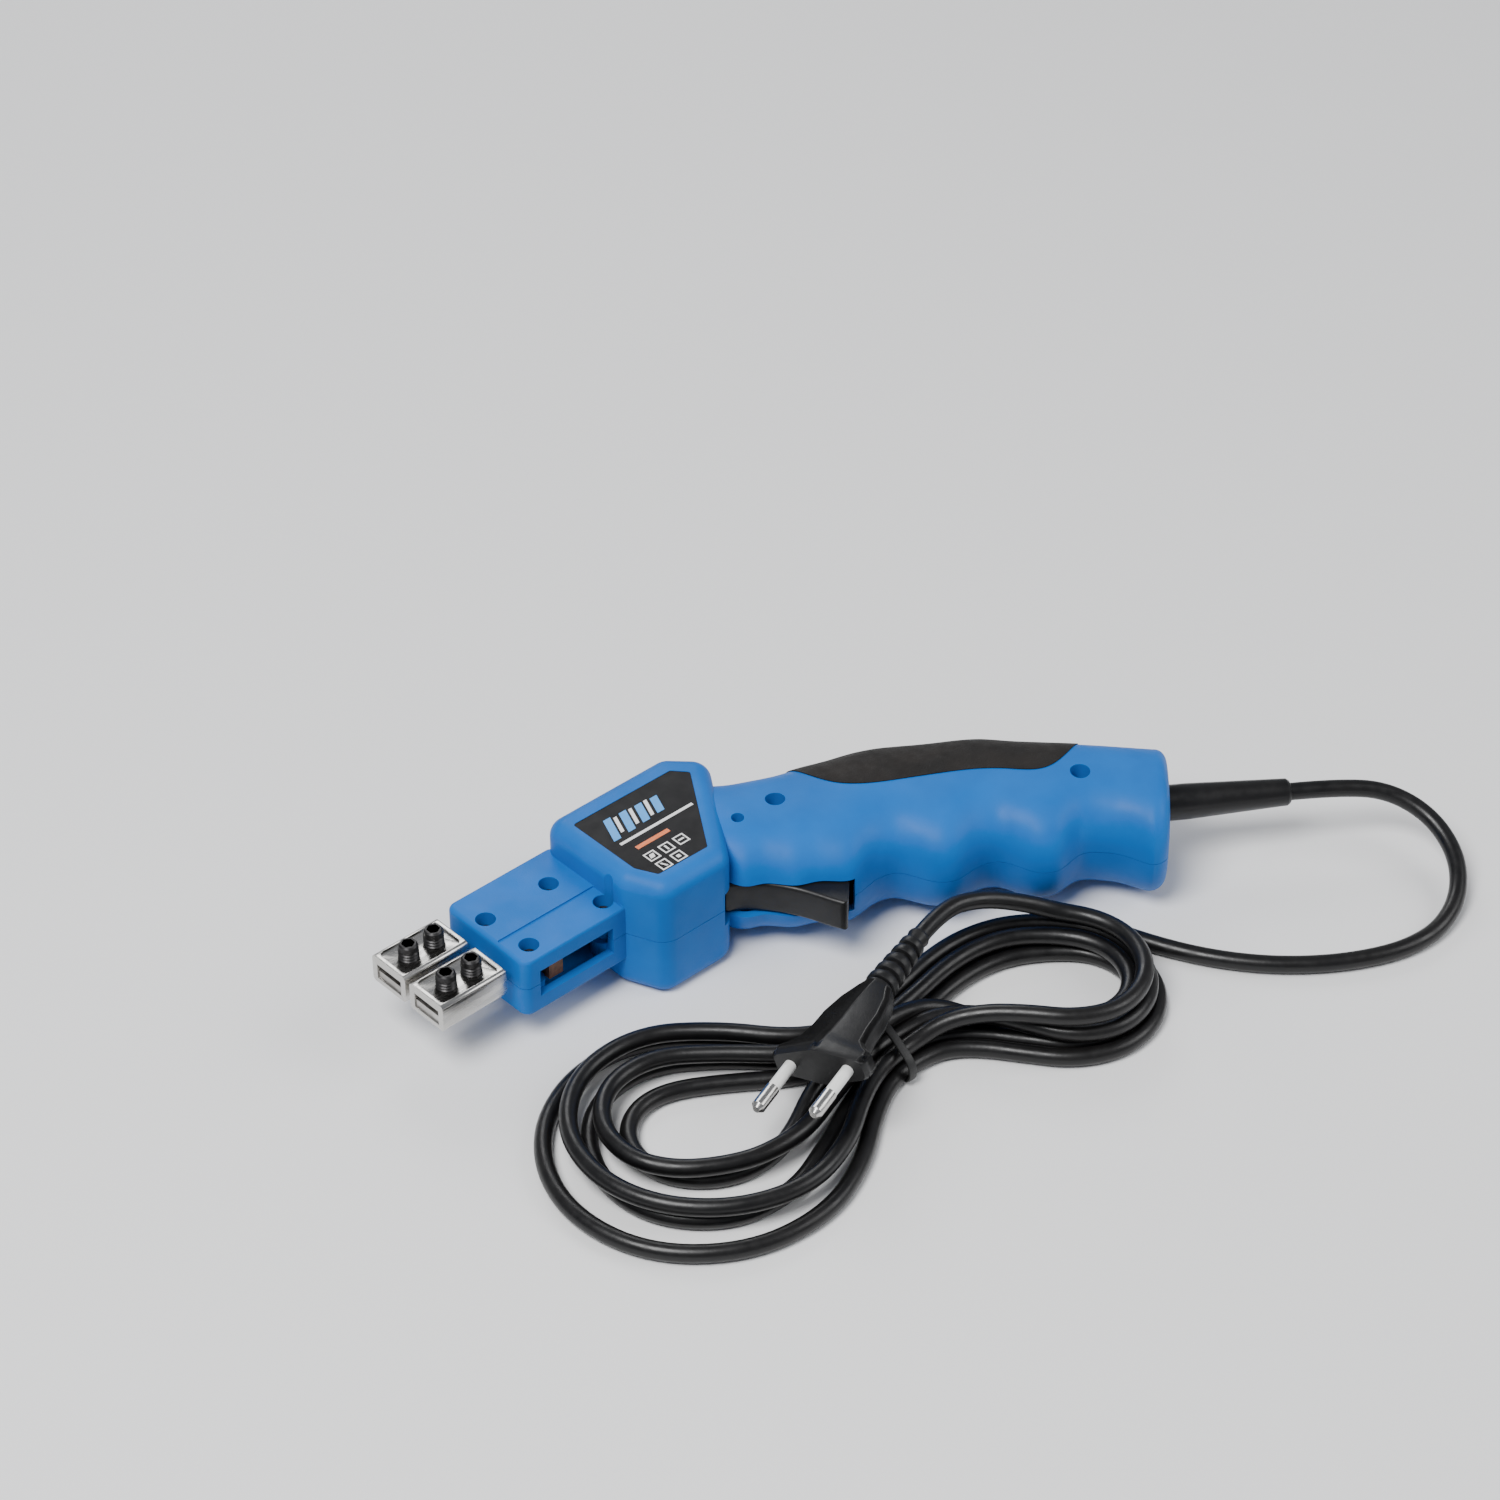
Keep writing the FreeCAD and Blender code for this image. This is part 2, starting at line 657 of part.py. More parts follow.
def cord_clamp():
    """The bar over the cord and its two screws."""
    floor = PARTING + CORD_DIAMETER / 2
    bar = handle_block(SADDLE_U + 0.5, SADDLE_U + SADDLE_LONG - 0.5, CORD_V - SADDLE_HALF + 0.6,
                       CORD_V + SADDLE_HALF - 0.6, floor, floor + CLAMP_BAR_THICK)
    screws = []
    for place in cord_clamp_places():
        bar = bar.cut(pillar(place, CLAMP_SHANK / 2 + BORE_FIT, floor - 1, floor + CLAMP_BAR_THICK + 1))
        grip = CORD_DIAMETER + 6
        length = grip + CLAMP_BAR_THICK
        screws.append(turned([
            (0, CLAMP_SHANK / 4), (1, CLAMP_SHANK / 2), (length, CLAMP_SHANK / 2),
            (length, CLAMP_HEAD / 2), (length + 1.4, CLAMP_HEAD / 2),
        ], V(place.x, place.y, floor - grip), UP))
    return bar, screws


# ---- trigger and switch -------------------------------------------------------
def trigger():
    """The trigger, with a curved finger face and a bore for its pin."""
    top_front, top_back = PIVOT_V + 3.8, PIVOT_V + 0.4
    finger = Part.BSplineCurve()
    finger.interpolate([
        on_handle(PIVOT_U - 4, -19.5), on_handle(3.2, -21.3), on_handle(11.6, -25.5),
        on_handle(17.5, -29.6), on_handle(20.6, FINGER_TIP_V + 0.3),
    ])
    tip = Part.Arc(on_handle(20.6, FINGER_TIP_V + 0.3), on_handle(22.3, FINGER_TIP_V + 0.5),
                   on_handle(23.2, FINGER_TIP_V + 2.2)).toShape()
    corners = [
        on_handle(23.2, FINGER_TIP_V + 2.2), on_handle(25.2, -19.8), on_handle(25.2, top_back),
        on_handle(PIVOT_U - 4, top_front), on_handle(PIVOT_U - 4, -19.5),
    ]
    lines = [Part.LineSegment(a, b).toShape() for a, b in zip(corners, corners[1:])]
    face = Part.Face(Part.Wire([finger.toShape(), tip] + lines))
    solid = face.extrude(UP * TRIGGER_WIDTH)
    solid.translate(UP * (-TRIGGER_WIDTH / 2))
    low = PARTING - TRIGGER_WIDTH / 2
    sides = [e for z in (low, low + TRIGGER_WIDTH) for e in top_edges(solid, z)
             if e.Curve.TypeId == "Part::GeomBSplineCurve"]
    solid = solid.makeFillet(1.2, sides)
    pivot = on_handle(PIVOT_U, PIVOT_V, 0)
    bore = pillar(pivot, PIN_DIAMETER / 2 + RUN_FIT, low - 1, low + TRIGGER_WIDTH + 1)
    return solid.cut(bore)


def trigger_pin():
    pivot = on_handle(PIVOT_U, PIVOT_V, 0)
    return pillar(pivot, PIN_DIAMETER / 2, PARTING - PIN_HALF, PARTING + PIN_HALF)


def switch():
    """The switch body with its terminals, and its plunger."""
    end = SWITCH_FROM_U + SWITCH_LENGTH
    body = handle_block(SWITCH_FROM_U, end, SWITCH_LOW_V, SWITCH_LOW_V + SWITCH_DEPTH,
                        PARTING - SWITCH_HALF, PARTING + SWITCH_HALF)
    body = body.makeFillet(0.8, body.Edges)
    for z in (PARTING - 5, PARTING + 3.4):
        body = body.fuse(handle_block(end - 1, end + 5, SWITCH_LOW_V + 8, SWITCH_LOW_V + 12, z, z + 0.8))
    mouth = on_handle(PLUNGER_U, SWITCH_LOW_V)
    room = PLUNGER_IN + PLUNGER_TRAVEL + 0.4
    body = body.cut(Part.makeCylinder(PLUNGER_DIAMETER / 2 + RUN_FIT, room + 1, mouth - ACROSS, ACROSS))
    radius = PLUNGER_DIAMETER / 2
    dome = mouth - ACROSS * (PLUNGER_OUT - radius)
    plunger = Part.makeCylinder(radius, PLUNGER_OUT + PLUNGER_IN - radius, dome, ACROSS)
    plunger = plunger.fuse(Part.makeSphere(radius, dome)).removeSplitter()
    return body, plunger


# ---- transformer --------------------------------------------------------------
def core_span():
    half = CORE_LEG / 2 + CORE_WINDOW + CORE_SIDE
    return CORE_MIDDLE.y - half, CORE_MIDDLE.y + half


def transformer_core():
    """Laminations with a centre leg and a window on each side of it."""
    x0, x1 = CORE_MIDDLE.x - CORE_STACK / 2, CORE_MIDDLE.x + CORE_STACK / 2
    y0, y1 = core_span()
    core = block(x0, x1, y0, y1, PARTING - CORE_HALF, PARTING + CORE_HALF)
    for side in (-1, 1):
        middle = CORE_MIDDLE.y + side * (CORE_LEG + CORE_WINDOW) / 2
        core = core.cut(block(x0 - 1, x1 + 1, middle - CORE_WINDOW / 2, middle + CORE_WINDOW / 2,
                              PARTING - CORE_HALF + CORE_YOKE, PARTING + CORE_HALF - CORE_YOKE))
    return core


def coil_decks():
    """(floor, roof) of the winding above the hairpin and of the one below it."""
    edge = CORE_HALF - CORE_YOKE - BOBBIN_GAP
    over = BAR_FLOOR + BAR_THICK + 0.8
    under = BAR_FLOOR - 0.8
    return [(PARTING - edge, under), (over, PARTING + edge)]


def ring(inner_x, inner_y, side, end, z0, z1, corner):
    """A rectangular ring about the centre leg."""
    cx, cy = CORE_MIDDLE.x, CORE_MIDDLE.y

    def slab(half_x, half_y, radius, low, high):
        outline = [(cx - half_x, cy + half_y), (cx + half_x, cy + half_y),
                   (cx + half_x, cy - half_y), (cx - half_x, cy - half_y)]
        return rounded_prism(outline, radius, low, high)

    outer = slab(inner_x + end, inner_y + side, corner, z0, z1)
    return outer.cut(slab(inner_x, inner_y, 0, z0 - 1, z1 + 1))


def bobbins_and_windings():
    """Two bobbins round the centre leg, each with its winding."""
    hole_x = CORE_STACK / 2 + BOBBIN_GAP
    hole_y = CORE_LEG / 2 + BOBBIN_GAP
    wound_x, wound_y = hole_x + BOBBIN_WALL, hole_y + BOBBIN_WALL
    side, end = WINDING_SIDE, WINDING_END
    bobbins, windings = [], []
    for z0, z1 in coil_decks():
        spool = ring(hole_x, hole_y, BOBBIN_WALL + side + 0.4, BOBBIN_WALL + end + 0.4, z0, z1, 1.5)
        wound = ring(wound_x, wound_y, side, end, z0 + BOBBIN_WALL, z1 - BOBBIN_WALL, 2.0)
        full = ring(wound_x, wound_y, side + 3, end + 3, z0 + BOBBIN_WALL, z1 - BOBBIN_WALL, 2.0)
        bobbins.append(spool.cut(full))
        windings.append(wound)
    return bobbins, windings


def hairpin():
    """The flat copper hairpin: two legs in the nose, a joggle, and a yoke behind the core."""
    joggle_from = BOX_FRONT + 0.5
    core_front = CORE_MIDDLE.x - CORE_STACK / 2
    yoke_from = CORE_MIDDLE.x + CORE_STACK / 2 + 1.5
    yoke_to = yoke_from + BAR_WIDTH
    foot_from = NOSE_FRONT - CLAMP_TO_NOSE - CLAMP_LENGTH + 0.5
    foot_to = NOSE_FRONT - CLAMP_TO_NOSE + 1.2
    legs = []
    spread = (CORE_LEG + CORE_WINDOW) / 2
    for row, side in ((0, -1), (1, 1)):
        nose_y = BAR_NEAR + row * BAR_PITCH
        core_y = CORE_MIDDLE.y + side * spread
        half = BAR_WIDTH / 2
        outline = [
            (foot_from, nose_y + BAR_FOOT / 2), (foot_to, nose_y + BAR_FOOT / 2), (foot_to, nose_y + half),
            (joggle_from, nose_y + half), (core_front, core_y + half), (yoke_to, core_y + half),
            (yoke_to, core_y - half), (core_front, core_y - half), (joggle_from, nose_y - half),
            (foot_to, nose_y - half), (foot_to, nose_y - BAR_FOOT / 2), (foot_from, nose_y - BAR_FOOT / 2),
        ]
        legs.append(rounded_prism(outline, 0, BAR_FLOOR, BAR_FLOOR + BAR_THICK))
    yoke = block(yoke_from, yoke_to, CORE_MIDDLE.y - spread, CORE_MIDDLE.y + spread,
                 BAR_FLOOR, BAR_FLOOR + BAR_THICK)
    pin = legs[0].fuse([legs[1], yoke]).removeSplitter()
    corners = [e for e in pin.Edges if e.BoundBox.ZLength > BAR_THICK / 2
               and abs(e.BoundBox.XMin - yoke_to) < EPS and abs(e.BoundBox.XMax - yoke_to) < EPS]
    return pin.makeFillet(2.5, corners)


def bar_insulator():
    """A block across the nose that keeps the two bars apart."""
    rim = WALL + 0.4
    plate = block(INSULATOR_FROM, INSULATOR_TO, NOSE_LOW + rim, NOSE_HIGH - rim,
                  BAR_FLOOR - INSULATOR_RIM, BAR_FLOOR + BAR_THICK + INSULATOR_RIM)
    for row in range(2):
        middle = BAR_NEAR + row * BAR_PITCH
        plate = plate.cut(block(INSULATOR_FROM - 1, INSULATOR_TO + 1,
                                middle - BAR_WIDTH / 2, middle + BAR_WIDTH / 2,
                                BAR_FLOOR, BAR_FLOOR + BAR_THICK))
    return plate


# ---- blade clamps -------------------------------------------------------------
def clamp_frame(row):
    """Where a clamp stands: its front, rear, middle line, floor and top."""
    rear = NOSE_FRONT - CLAMP_TO_NOSE
    floor = BAR_FLOOR - CLAMP_FLOOR
    top = BAR_FLOOR + BAR_THICK + BLADE_GAP + CLAMP_ROOF
    return rear - CLAMP_LENGTH, rear, BAR_NEAR + row * BAR_PITCH, floor, top


def set_screw_places(row):
    front, rear, middle, floor, top = clamp_frame(row)
    centre = (front + rear) / 2 + 0.4
    return [V(centre + side * SET_SCREW_PITCH / 2, middle, 0) for side in (-1, 1)]


def blade_clamp(row):
    """A plated steel ring round the bar, with a rimmed top and two threaded holes."""
    front, rear, middle, floor, top = clamp_frame(row)
    half = CLAMP_WIDTH / 2
    body = block(front, rear, middle - half, middle + half, floor, top)
    long_edges = [e for e in body.Edges if e.BoundBox.XLength > CLAMP_LENGTH / 2]
    body = body.makeFillet(CLAMP_EDGE, long_edges)
    inner = BAR_FOOT / 2 + CLAMP_SIDE_FIT
    body = body.cut(block(front - 1, rear + 1, middle - inner, middle + inner, BAR_FLOOR, top - CLAMP_ROOF))
    tray = [(front + RIM_WIDTH, middle + half - RIM_WIDTH), (rear - RIM_WIDTH, middle + half - RIM_WIDTH),
            (rear - RIM_WIDTH, middle - half + RIM_WIDTH), (front + RIM_WIDTH, middle - half + RIM_WIDTH)]
    body = body.cut(rounded_prism(tray, 1.5, top - RIM_DEPTH, top + 1))
    for place in set_screw_places(row):
        body = body.cut(pillar(place, SET_SCREW / 2, top - CLAMP_ROOF - 1, top + 1))
    return body


def set_screw(place, row):
    """A socket set screw, chamfered at both ends."""
    roof = clamp_frame(row)[4] - CLAMP_ROOF
    low = roof - SET_SCREW_REACH
    radius = SET_SCREW / 2 - RUN_FIT
    profile = [(0, radius - 0.9), (0.9, radius), (SET_SCREW_LENGTH - 0.5, radius),
               (SET_SCREW_LENGTH, radius - 0.5)]
    screw = turned(profile, V(place.x, place.y, low), UP)
    corner = HEX_KEY / math.sqrt(3)
    ring_of = [V(place.x + corner * math.cos(math.radians(a)), place.y + corner * math.sin(math.radians(a)),
                 low + SET_SCREW_LENGTH - 3.5) for a in range(0, 360, 60)]
    socket = Part.Face(Part.makePolygon(ring_of + ring_of[:1])).extrude(UP * 6)
    return screw.cut(socket)


# ---- cord ---------------------------------------------------------------------
def cord_boot():
    """The tapered sleeve that the cord leaves through."""
    start = TAIL_U - WALL - 3.6
    out = TAIL_U + 2
    profile = [
        (start, BOOT_FLANGE), (start + 2.4, BOOT_FLANGE), (start + 2.4, BOOT_START),
        (out + 5, BOOT_START), (out + BOOT_LENGTH - 1.0, BOOT_END), (out + BOOT_LENGTH, BOOT_END - 0.7),
    ]
    bore = turned([(start - 1, CORD_DIAMETER / 2), (out + BOOT_LENGTH + 1, CORD_DIAMETER / 2)],
                  on_handle(0, CORD_V), ALONG)
    return turned(profile, on_handle(0, CORD_V), ALONG).cut(bore)


def boot_mouth():
    return on_handle(TAIL_U + 2 + BOOT_LENGTH, CORD_V)


def cord_inner():
    """The stretch of cord from its clamp to the mouth of the boot."""
    start = on_handle(CORD_INNER_FROM, CORD_V)
    return Part.makeCylinder(CORD_DIAMETER / 2, boot_mouth().distanceToPoint(start), start, ALONG)


def wire(points, diameter=WIRE_DIAMETER):
    places = [on_handle(*p) for p in points]
    return tube(places, diameter, easy_bends(places))


def inner_wires():
    """From the cord to the switch, from the switch to the coil, and straight to the coil."""
    end = SWITCH_FROM_U + SWITCH_LENGTH
    top = SWITCH_LOW_V + 10
    start = CORD_INNER_FROM - 0.5
    line = wire([(start, CORD_V + 1, PARTING + 1.1), (90, 9.5, PARTING + 2),
                 (75, 8, PARTING + 3.5), (58, 3.5, PARTING + 3.8), (end + 5.2, top, PARTING + 3.8)])
    neutral = wire([(start, CORD_V + 1, PARTING - 1.1), (89, 12.5, PARTING - 2), (72, 15, PARTING - 3),
                    (45, 14, PARTING - 4), (20, 11.5, PARTING - 5), (2, 5.5, PARTING - 6)])
    switched = wire([(end + 5.6, top, PARTING - 4.6), (end + 11, 5, PARTING - 4),
                     (end + 8, 11.5, PARTING + 1), (36, 13, PARTING + 5), (18, 10.5, PARTING + 6), (2, 5.5, PARTING + 6.5)])
    return line, neutral, switched


def cord_lead():
    """From the boot, round and down to the floor, and on to the hank."""
    points = [boot_mouth(), boot_mouth() + ALONG * 14] + CORD_ROUTE
    return tube(points, CORD_DIAMETER, easy_bends(points))


def beside_bundle(i, rooms):
    """Plan point outward of station i by so many rooms, and on to the side of that lane's cord."""
    x, y, room = HANK[i]
    before, after = HANK[i - 1], HANK[(i + 1) % len(HANK)]
    run = V(after[0] - before[0], after[1] - before[1], 0).normalize()
    reach = rooms * room + math.copysign(CORD_DIAMETER / 2, rooms)
    return x + run.y * reach, y - run.x * reach


def closed_outline(points, z0, z1):
    curve = Part.BSplineCurve()
    curve.interpolate([V(x, y, z0) for x, y in points], PeriodicFlag=True)
    return Part.Face(Part.Wire(curve.toShape())).extrude(UP * (z1 - z0))


def cord_hank():
    """The tied hank: one closed solid of its outer shape, open in its two lobes."""
    outside = [beside_bundle(i, LEAD_LANES.get(i, OUTER_LANE)) for i in range(len(HANK))]
    solid = closed_outline(outside, 0, HANK_HIGH)
    for lobe in (LEFT_LOBE, RIGHT_LOBE):
        inside = [beside_bundle(i, -OUTER_LANE) for i in lobe]
        solid = solid.cut(closed_outline(inside, -1, HANK_HIGH + 1))
    return solid


def cord_tie():
    """A thin band over the waist of the hank."""
    middle = len(TIE_INSIDE) // 2
    outside = []
    for i, (across, up) in enumerate(TIE_INSIDE):
        side = -1 if i < middle else 1
        top = TIE_THICK if 1 < i < len(TIE_INSIDE) - 2 else 0
        outside.append((across + side * (TIE_THICK if not top else 0.4), up + top))
    section = outside + TIE_INSIDE[::-1]
    points = [V(-TIE_WIDE / 2, across, up) for across, up in section]
    band = Part.Face(Part.makePolygon(points + points[:1])).extrude(V(TIE_WIDE, 0, 0))
    band.Placement = FreeCAD.Placement(TIE_AT, FreeCAD.Rotation(UP, TIE_TURN))
    return band


# ---- plug ---------------------------------------------------------------------
def plug_axes():
    """Out of the face, across the pins, and through the thickness."""
    out = PLUG_POINTS
    level = UP.cross(out).normalize()
    turn = FreeCAD.Rotation(out, PLUG_ROLL)
    wide = turn.multVec(level)
    return out, wide, out.cross(wide).normalize()


def plug_section(back, wide_half, thick_half, corner):
    """A flat hexagon across the plug, at a distance behind its face."""
    out, wide, thick = plug_axes()
    centre = PLUG_AT - out * back
    corners = [
        (wide_half, 0), (wide_half - corner, thick_half), (-wide_half + corner, thick_half),
        (-wide_half, 0), (-wide_half + corner, -thick_half), (wide_half - corner, -thick_half),
    ]
    points = [centre + wide * a + thick * b for a, b in corners]
    return Part.Wire(Part.makePolygon(points + points[:1]))


def plug_tail(root, out):
    """The ribbed strain relief behind the body."""
    rib = TAIL_LONG / (TAIL_RIBS + 1)
    profile = [(0, 4.8)]
    for i in range(TAIL_RIBS):
        crest = 4.6 - 0.3 * i
        start = 1.5 + i * rib
        profile += [(start, crest), (start + rib * 0.6, crest)]
        profile += [(start + rib * 0.6, crest - 0.9), (start + rib, crest - 0.9)]
    profile.append((TAIL_LONG, CORD_DIAMETER / 2 + 0.5))
    return turned(profile, root, out * -1)


def plug():
    """Body with its ribbed tail, the two pins, their sleeves, and the tail's end."""
    out, wide, thick = plug_axes()
    half = PLUG_THICK / 2
    face = Part.makeLoft([plug_section(back, PLUG_WIDE / 2, half, PLUG_CORNER)
                          for back in (0, PLUG_FACE_LONG)], True, True)
    grip = Part.makeLoft([
        plug_section(PLUG_FACE_LONG, PLUG_WAIST / 2, half, 4.0),
        plug_section(PLUG_LONG / 2, PLUG_WAIST / 2 - 1.5, half, 4.0),
        plug_section(PLUG_LONG, 6.0, 5.5, 3.0),
    ], True, True)
    root = PLUG_AT - out * (PLUG_LONG - 1)
    body = face.fuse([grip, plug_tail(root, out)])
    pins, sleeves = [], []
    covered = PIN_ROOT + SLEEVE_LONG
    full = PIN_ROOT + PIN_LONG
    for side in (-1, 1):
        foot = PLUG_AT + wide * (side * PIN_PITCH / 2) - out * PIN_ROOT
        core, radius = PIN_CORE / 2, PIN_ROUND / 2
        body = body.cut(Part.makeCylinder(SLEEVE_ROUND / 2, PIN_ROOT + 1, foot, out))
        pins.append(turned([(0, core), (covered, core), (covered, radius), (full - 1.2, radius),
                            (full, radius - 1)], foot, out))
        sleeve = turned([(0, SLEEVE_ROUND / 2), (covered, SLEEVE_ROUND / 2)], foot, out)
        sleeves.append(sleeve.cut(Part.makeCylinder(core, covered + 2, foot - out, out)))
    return body.removeSplitter(), pins, sleeves, root - out * TAIL_LONG


def plug_cord(tail_end):
    """From the plug's tail down on to the hank."""
    points = [tail_end, tail_end - plug_axes()[0] * 12.5] + PLUG_CORD
    return tube(points, CORD_DIAMETER, easy_bends(points))


# ---- the whole tool -----------------------------------------------------------
def main():
    left, right, inlay = housing()
    save("left_shell", left)
    save("right_shell", right)
    save("grip_inlay_left", inlay)
    save("grip_inlay_right", mirrored(inlay))
    save("rating_label", label_prism(LABEL_RECESS, LABEL_THICK))

    save("trigger", trigger())
    save("trigger_pin", trigger_pin())
    switch_body, plunger = switch()
    save("switch_body", switch_body)
    save("switch_plunger", plunger)

    save("transformer_core", transformer_core())
    bobbins, windings = bobbins_and_windings()
    save("coil_bobbins", *bobbins)
    save("primary_windings", *windings)
    save("secondary_hairpin", hairpin())
    save("bar_insulator", bar_insulator())

    for row, side in enumerate(("near", "far")):
        save("blade_clamp_" + side, blade_clamp(row))
        for end, place in zip(("front", "rear"), set_screw_places(row)):
            save("set_screw_%s_%s" % (side, end), set_screw(place, row))

    nose, handle, neck = screw_places()
    save("nose_screws", *[case_screw(*s) for s in nose])
    save("handle_screws", *[case_screw(*s) for s in handle])
    save("neck_screw", *[case_screw(*s) for s in neck])

    save("cord_boot", cord_boot())
    bar, screws = cord_clamp()
    save("cord_clamp_bar", bar)
    save("cord_clamp_screws", *screws)
    line, neutral, switched = inner_wires()
    save("wire_line", line)
    save("wire_neutral", neutral)
    save("wire_switched", switched)

    save("cord_inner", cord_inner())
    hank = cord_hank()
    body, pins, sleeves, tail_end = plug()
    save("cord_lead", cord_lead().cut(hank))
    save("cord_hank", hank)
    save("cord_tie", cord_tie())
    save("cord_plug_end", plug_cord(tail_end).cut(hank))
    save("plug_body", body)
    save("plug_pins", *pins)
    save("plug_sleeves", *sleeves)


main()
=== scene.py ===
# %% [markdown]
# # A hot knife on its side, with its lead tied in a hank
# The tool is a blue plastic pistol: a box with a transformer in it, a short nose with
# two plated blade clamps, and a grip. Its shape and its moving parts come from the
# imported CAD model, which is loaded first and never moved. Blender adds what CAD can't
# give: finishes, the real line of the lead, the moulded plug, threads and printing.

# %% Load the frame
import math

import bmesh
import bpy
from mathutils import Matrix, Vector


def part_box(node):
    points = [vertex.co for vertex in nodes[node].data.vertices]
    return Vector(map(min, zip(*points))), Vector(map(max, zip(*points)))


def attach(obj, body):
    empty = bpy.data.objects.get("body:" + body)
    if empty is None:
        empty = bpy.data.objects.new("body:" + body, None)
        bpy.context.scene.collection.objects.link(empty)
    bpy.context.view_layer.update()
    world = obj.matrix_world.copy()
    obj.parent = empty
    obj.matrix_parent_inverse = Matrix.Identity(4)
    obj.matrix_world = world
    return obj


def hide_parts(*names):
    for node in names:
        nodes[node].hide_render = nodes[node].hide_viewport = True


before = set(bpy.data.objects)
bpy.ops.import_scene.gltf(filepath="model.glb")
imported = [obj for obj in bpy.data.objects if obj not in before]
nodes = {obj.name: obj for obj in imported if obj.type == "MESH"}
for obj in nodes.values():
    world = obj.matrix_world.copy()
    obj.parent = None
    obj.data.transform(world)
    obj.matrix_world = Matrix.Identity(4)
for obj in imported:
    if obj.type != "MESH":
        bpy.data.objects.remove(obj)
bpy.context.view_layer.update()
MM = 0.001


# %% [markdown]
# ## Camera
# A three-quarter view from above the nose, with a long lens, shows the clamps, the
# label, the trigger and the whole hank at once. A long lens keeps the edges of the
# box nearly parallel. The camera's turn is worked out from the way it looks.

# %% Place the camera
LOOKS_ALONG = Vector((0.533, 0.578, -0.618))
camera_data = bpy.data.cameras.new("camera")
camera_data.lens = 99.1
camera_data.sensor_width = 36.0
camera_data.clip_start = 0.01
camera = bpy.data.objects.new("camera", camera_data)
camera.location = (-0.5908, -0.6774, 0.772)
camera.rotation_euler = LOOKS_ALONG.to_track_quat("-Z", "Y").to_euler()
bpy.context.collection.objects.link(camera)
bpy.context.scene.camera = camera
print("camera", camera_data.lens, "mm, looking along", tuple(LOOKS_ALONG))

# %% [markdown]
# ## The lead: one length of cord
# The lead is a single round cord. It leaves the boot at the tail of the grip, curls
# down to the floor, goes five times round the hank and ends in the plug. A coil of
# separate loops would look the same from far away, but the ends would show, so the
# whole line is one smooth NURBS curve with a round bevel.
#
# The hank's middle line is a list of stations. Each has a place and the room between
# one lane of cord and the next: small where the tie squeezes the bundle, large where
# the turns fan out. A turn follows the stations in one lane and changes lane at the
# right-hand end, so no two turns lie in the same place.

# %% The stations of the hank, in millimetres
CORD_THICK = 5.2
FLOOR_LAYER = 2.65            # height of a cord's middle when it lies on the floor
SECOND_LAYER = 8.05
HANK = [
    (53.5, -69.5, 2.8), (40.5, -69.6, 2.75), (27, -72.2, 2.7), (13, -73.65, 2.7), (1, -73.2, 2.7),
    (-13, -67.5, 3.4), (-27, -54, 4.8), (-43, -43, 5.8), (-61, -42, 5.9), (-77, -52, 6.0),
    (-84, -70, 6.3), (-79.5, -88, 6.8), (-65, -101, 7.2), (-47, -104.5, 7.0), (-30, -99.5, 5.6),
    (-14, -91.3, 3.8), (1, -86, 2.7), (14, -85.4, 2.7), (25, -88, 2.75), (34, -95.6, 2.8),
    (41, -105.2, 2.8), (48.4, -115.1, 2.8), (58.4, -120.4, 2.8), (69.6, -119.5, 2.8),
    (78.8, -113, 2.8), (83.6, -102.8, 2.8), (82.8, -91.5, 2.8), (76, -81.5, 2.8), (65.5, -73, 2.8),
]


def beside(i, rooms, z):
    """A point outward of station i by so many rooms."""
    x, y, room = HANK[i]
    before, after = HANK[i - 1], HANK[(i + 1) % len(HANK)]
    run = Vector((after[0] - before[0], after[1] - before[1])).normalized()
    return Vector((x + run.y * rooms * room, y - run.x * rooms * room, z))


def ramp(start, stop, at):
    """0 before start, 1 after stop, and a smooth rise between."""
    t = min(1.0, max(0.0, (at - start) / (stop - start)))
    return t * t * (3 - 2 * t)


print("hank:", len(HANK), "stations")

# %% [markdown]
# Three turns lie on the floor, in the outermost, the middle and the innermost lane.
# The last two lie on top of them, in the hollows between, as a cord wound by hand
# settles. In the open lobe the upper turns wander across the lower ones. One turn
# humps over its neighbours where the tie draws the two sides together.

# %% Wind the turns
TURN_LANES = [2, 0, -2, -1, 1]          # each turn's lane, in rooms outward
LANE_CHANGES = [(24, 28.8), (24, 28.8), (20, 24), (18.5, 22)]
WANDER = [(0.15, 1.3, 0.0), (0.3, 1.1, 1.0), (0.25, 0.9, 2.0), (0.9, 0.62, -2.48), (0.75, 0.62, -1.98)]
HUMP = {15: (-0.6, 7.0), 16: (0.0, 11.7), 17: (0.0, 11.7), 18: (-1.0, 7.0)}
PRESSED = 0.75                           # how far the tie presses the upper layer down
CLIMB_AFTER = 17                         # the station where the last turn starts to climb
CLIMB = 2.6                              # and how much it rises at each station after that
CLIMB_TOP = 15.0


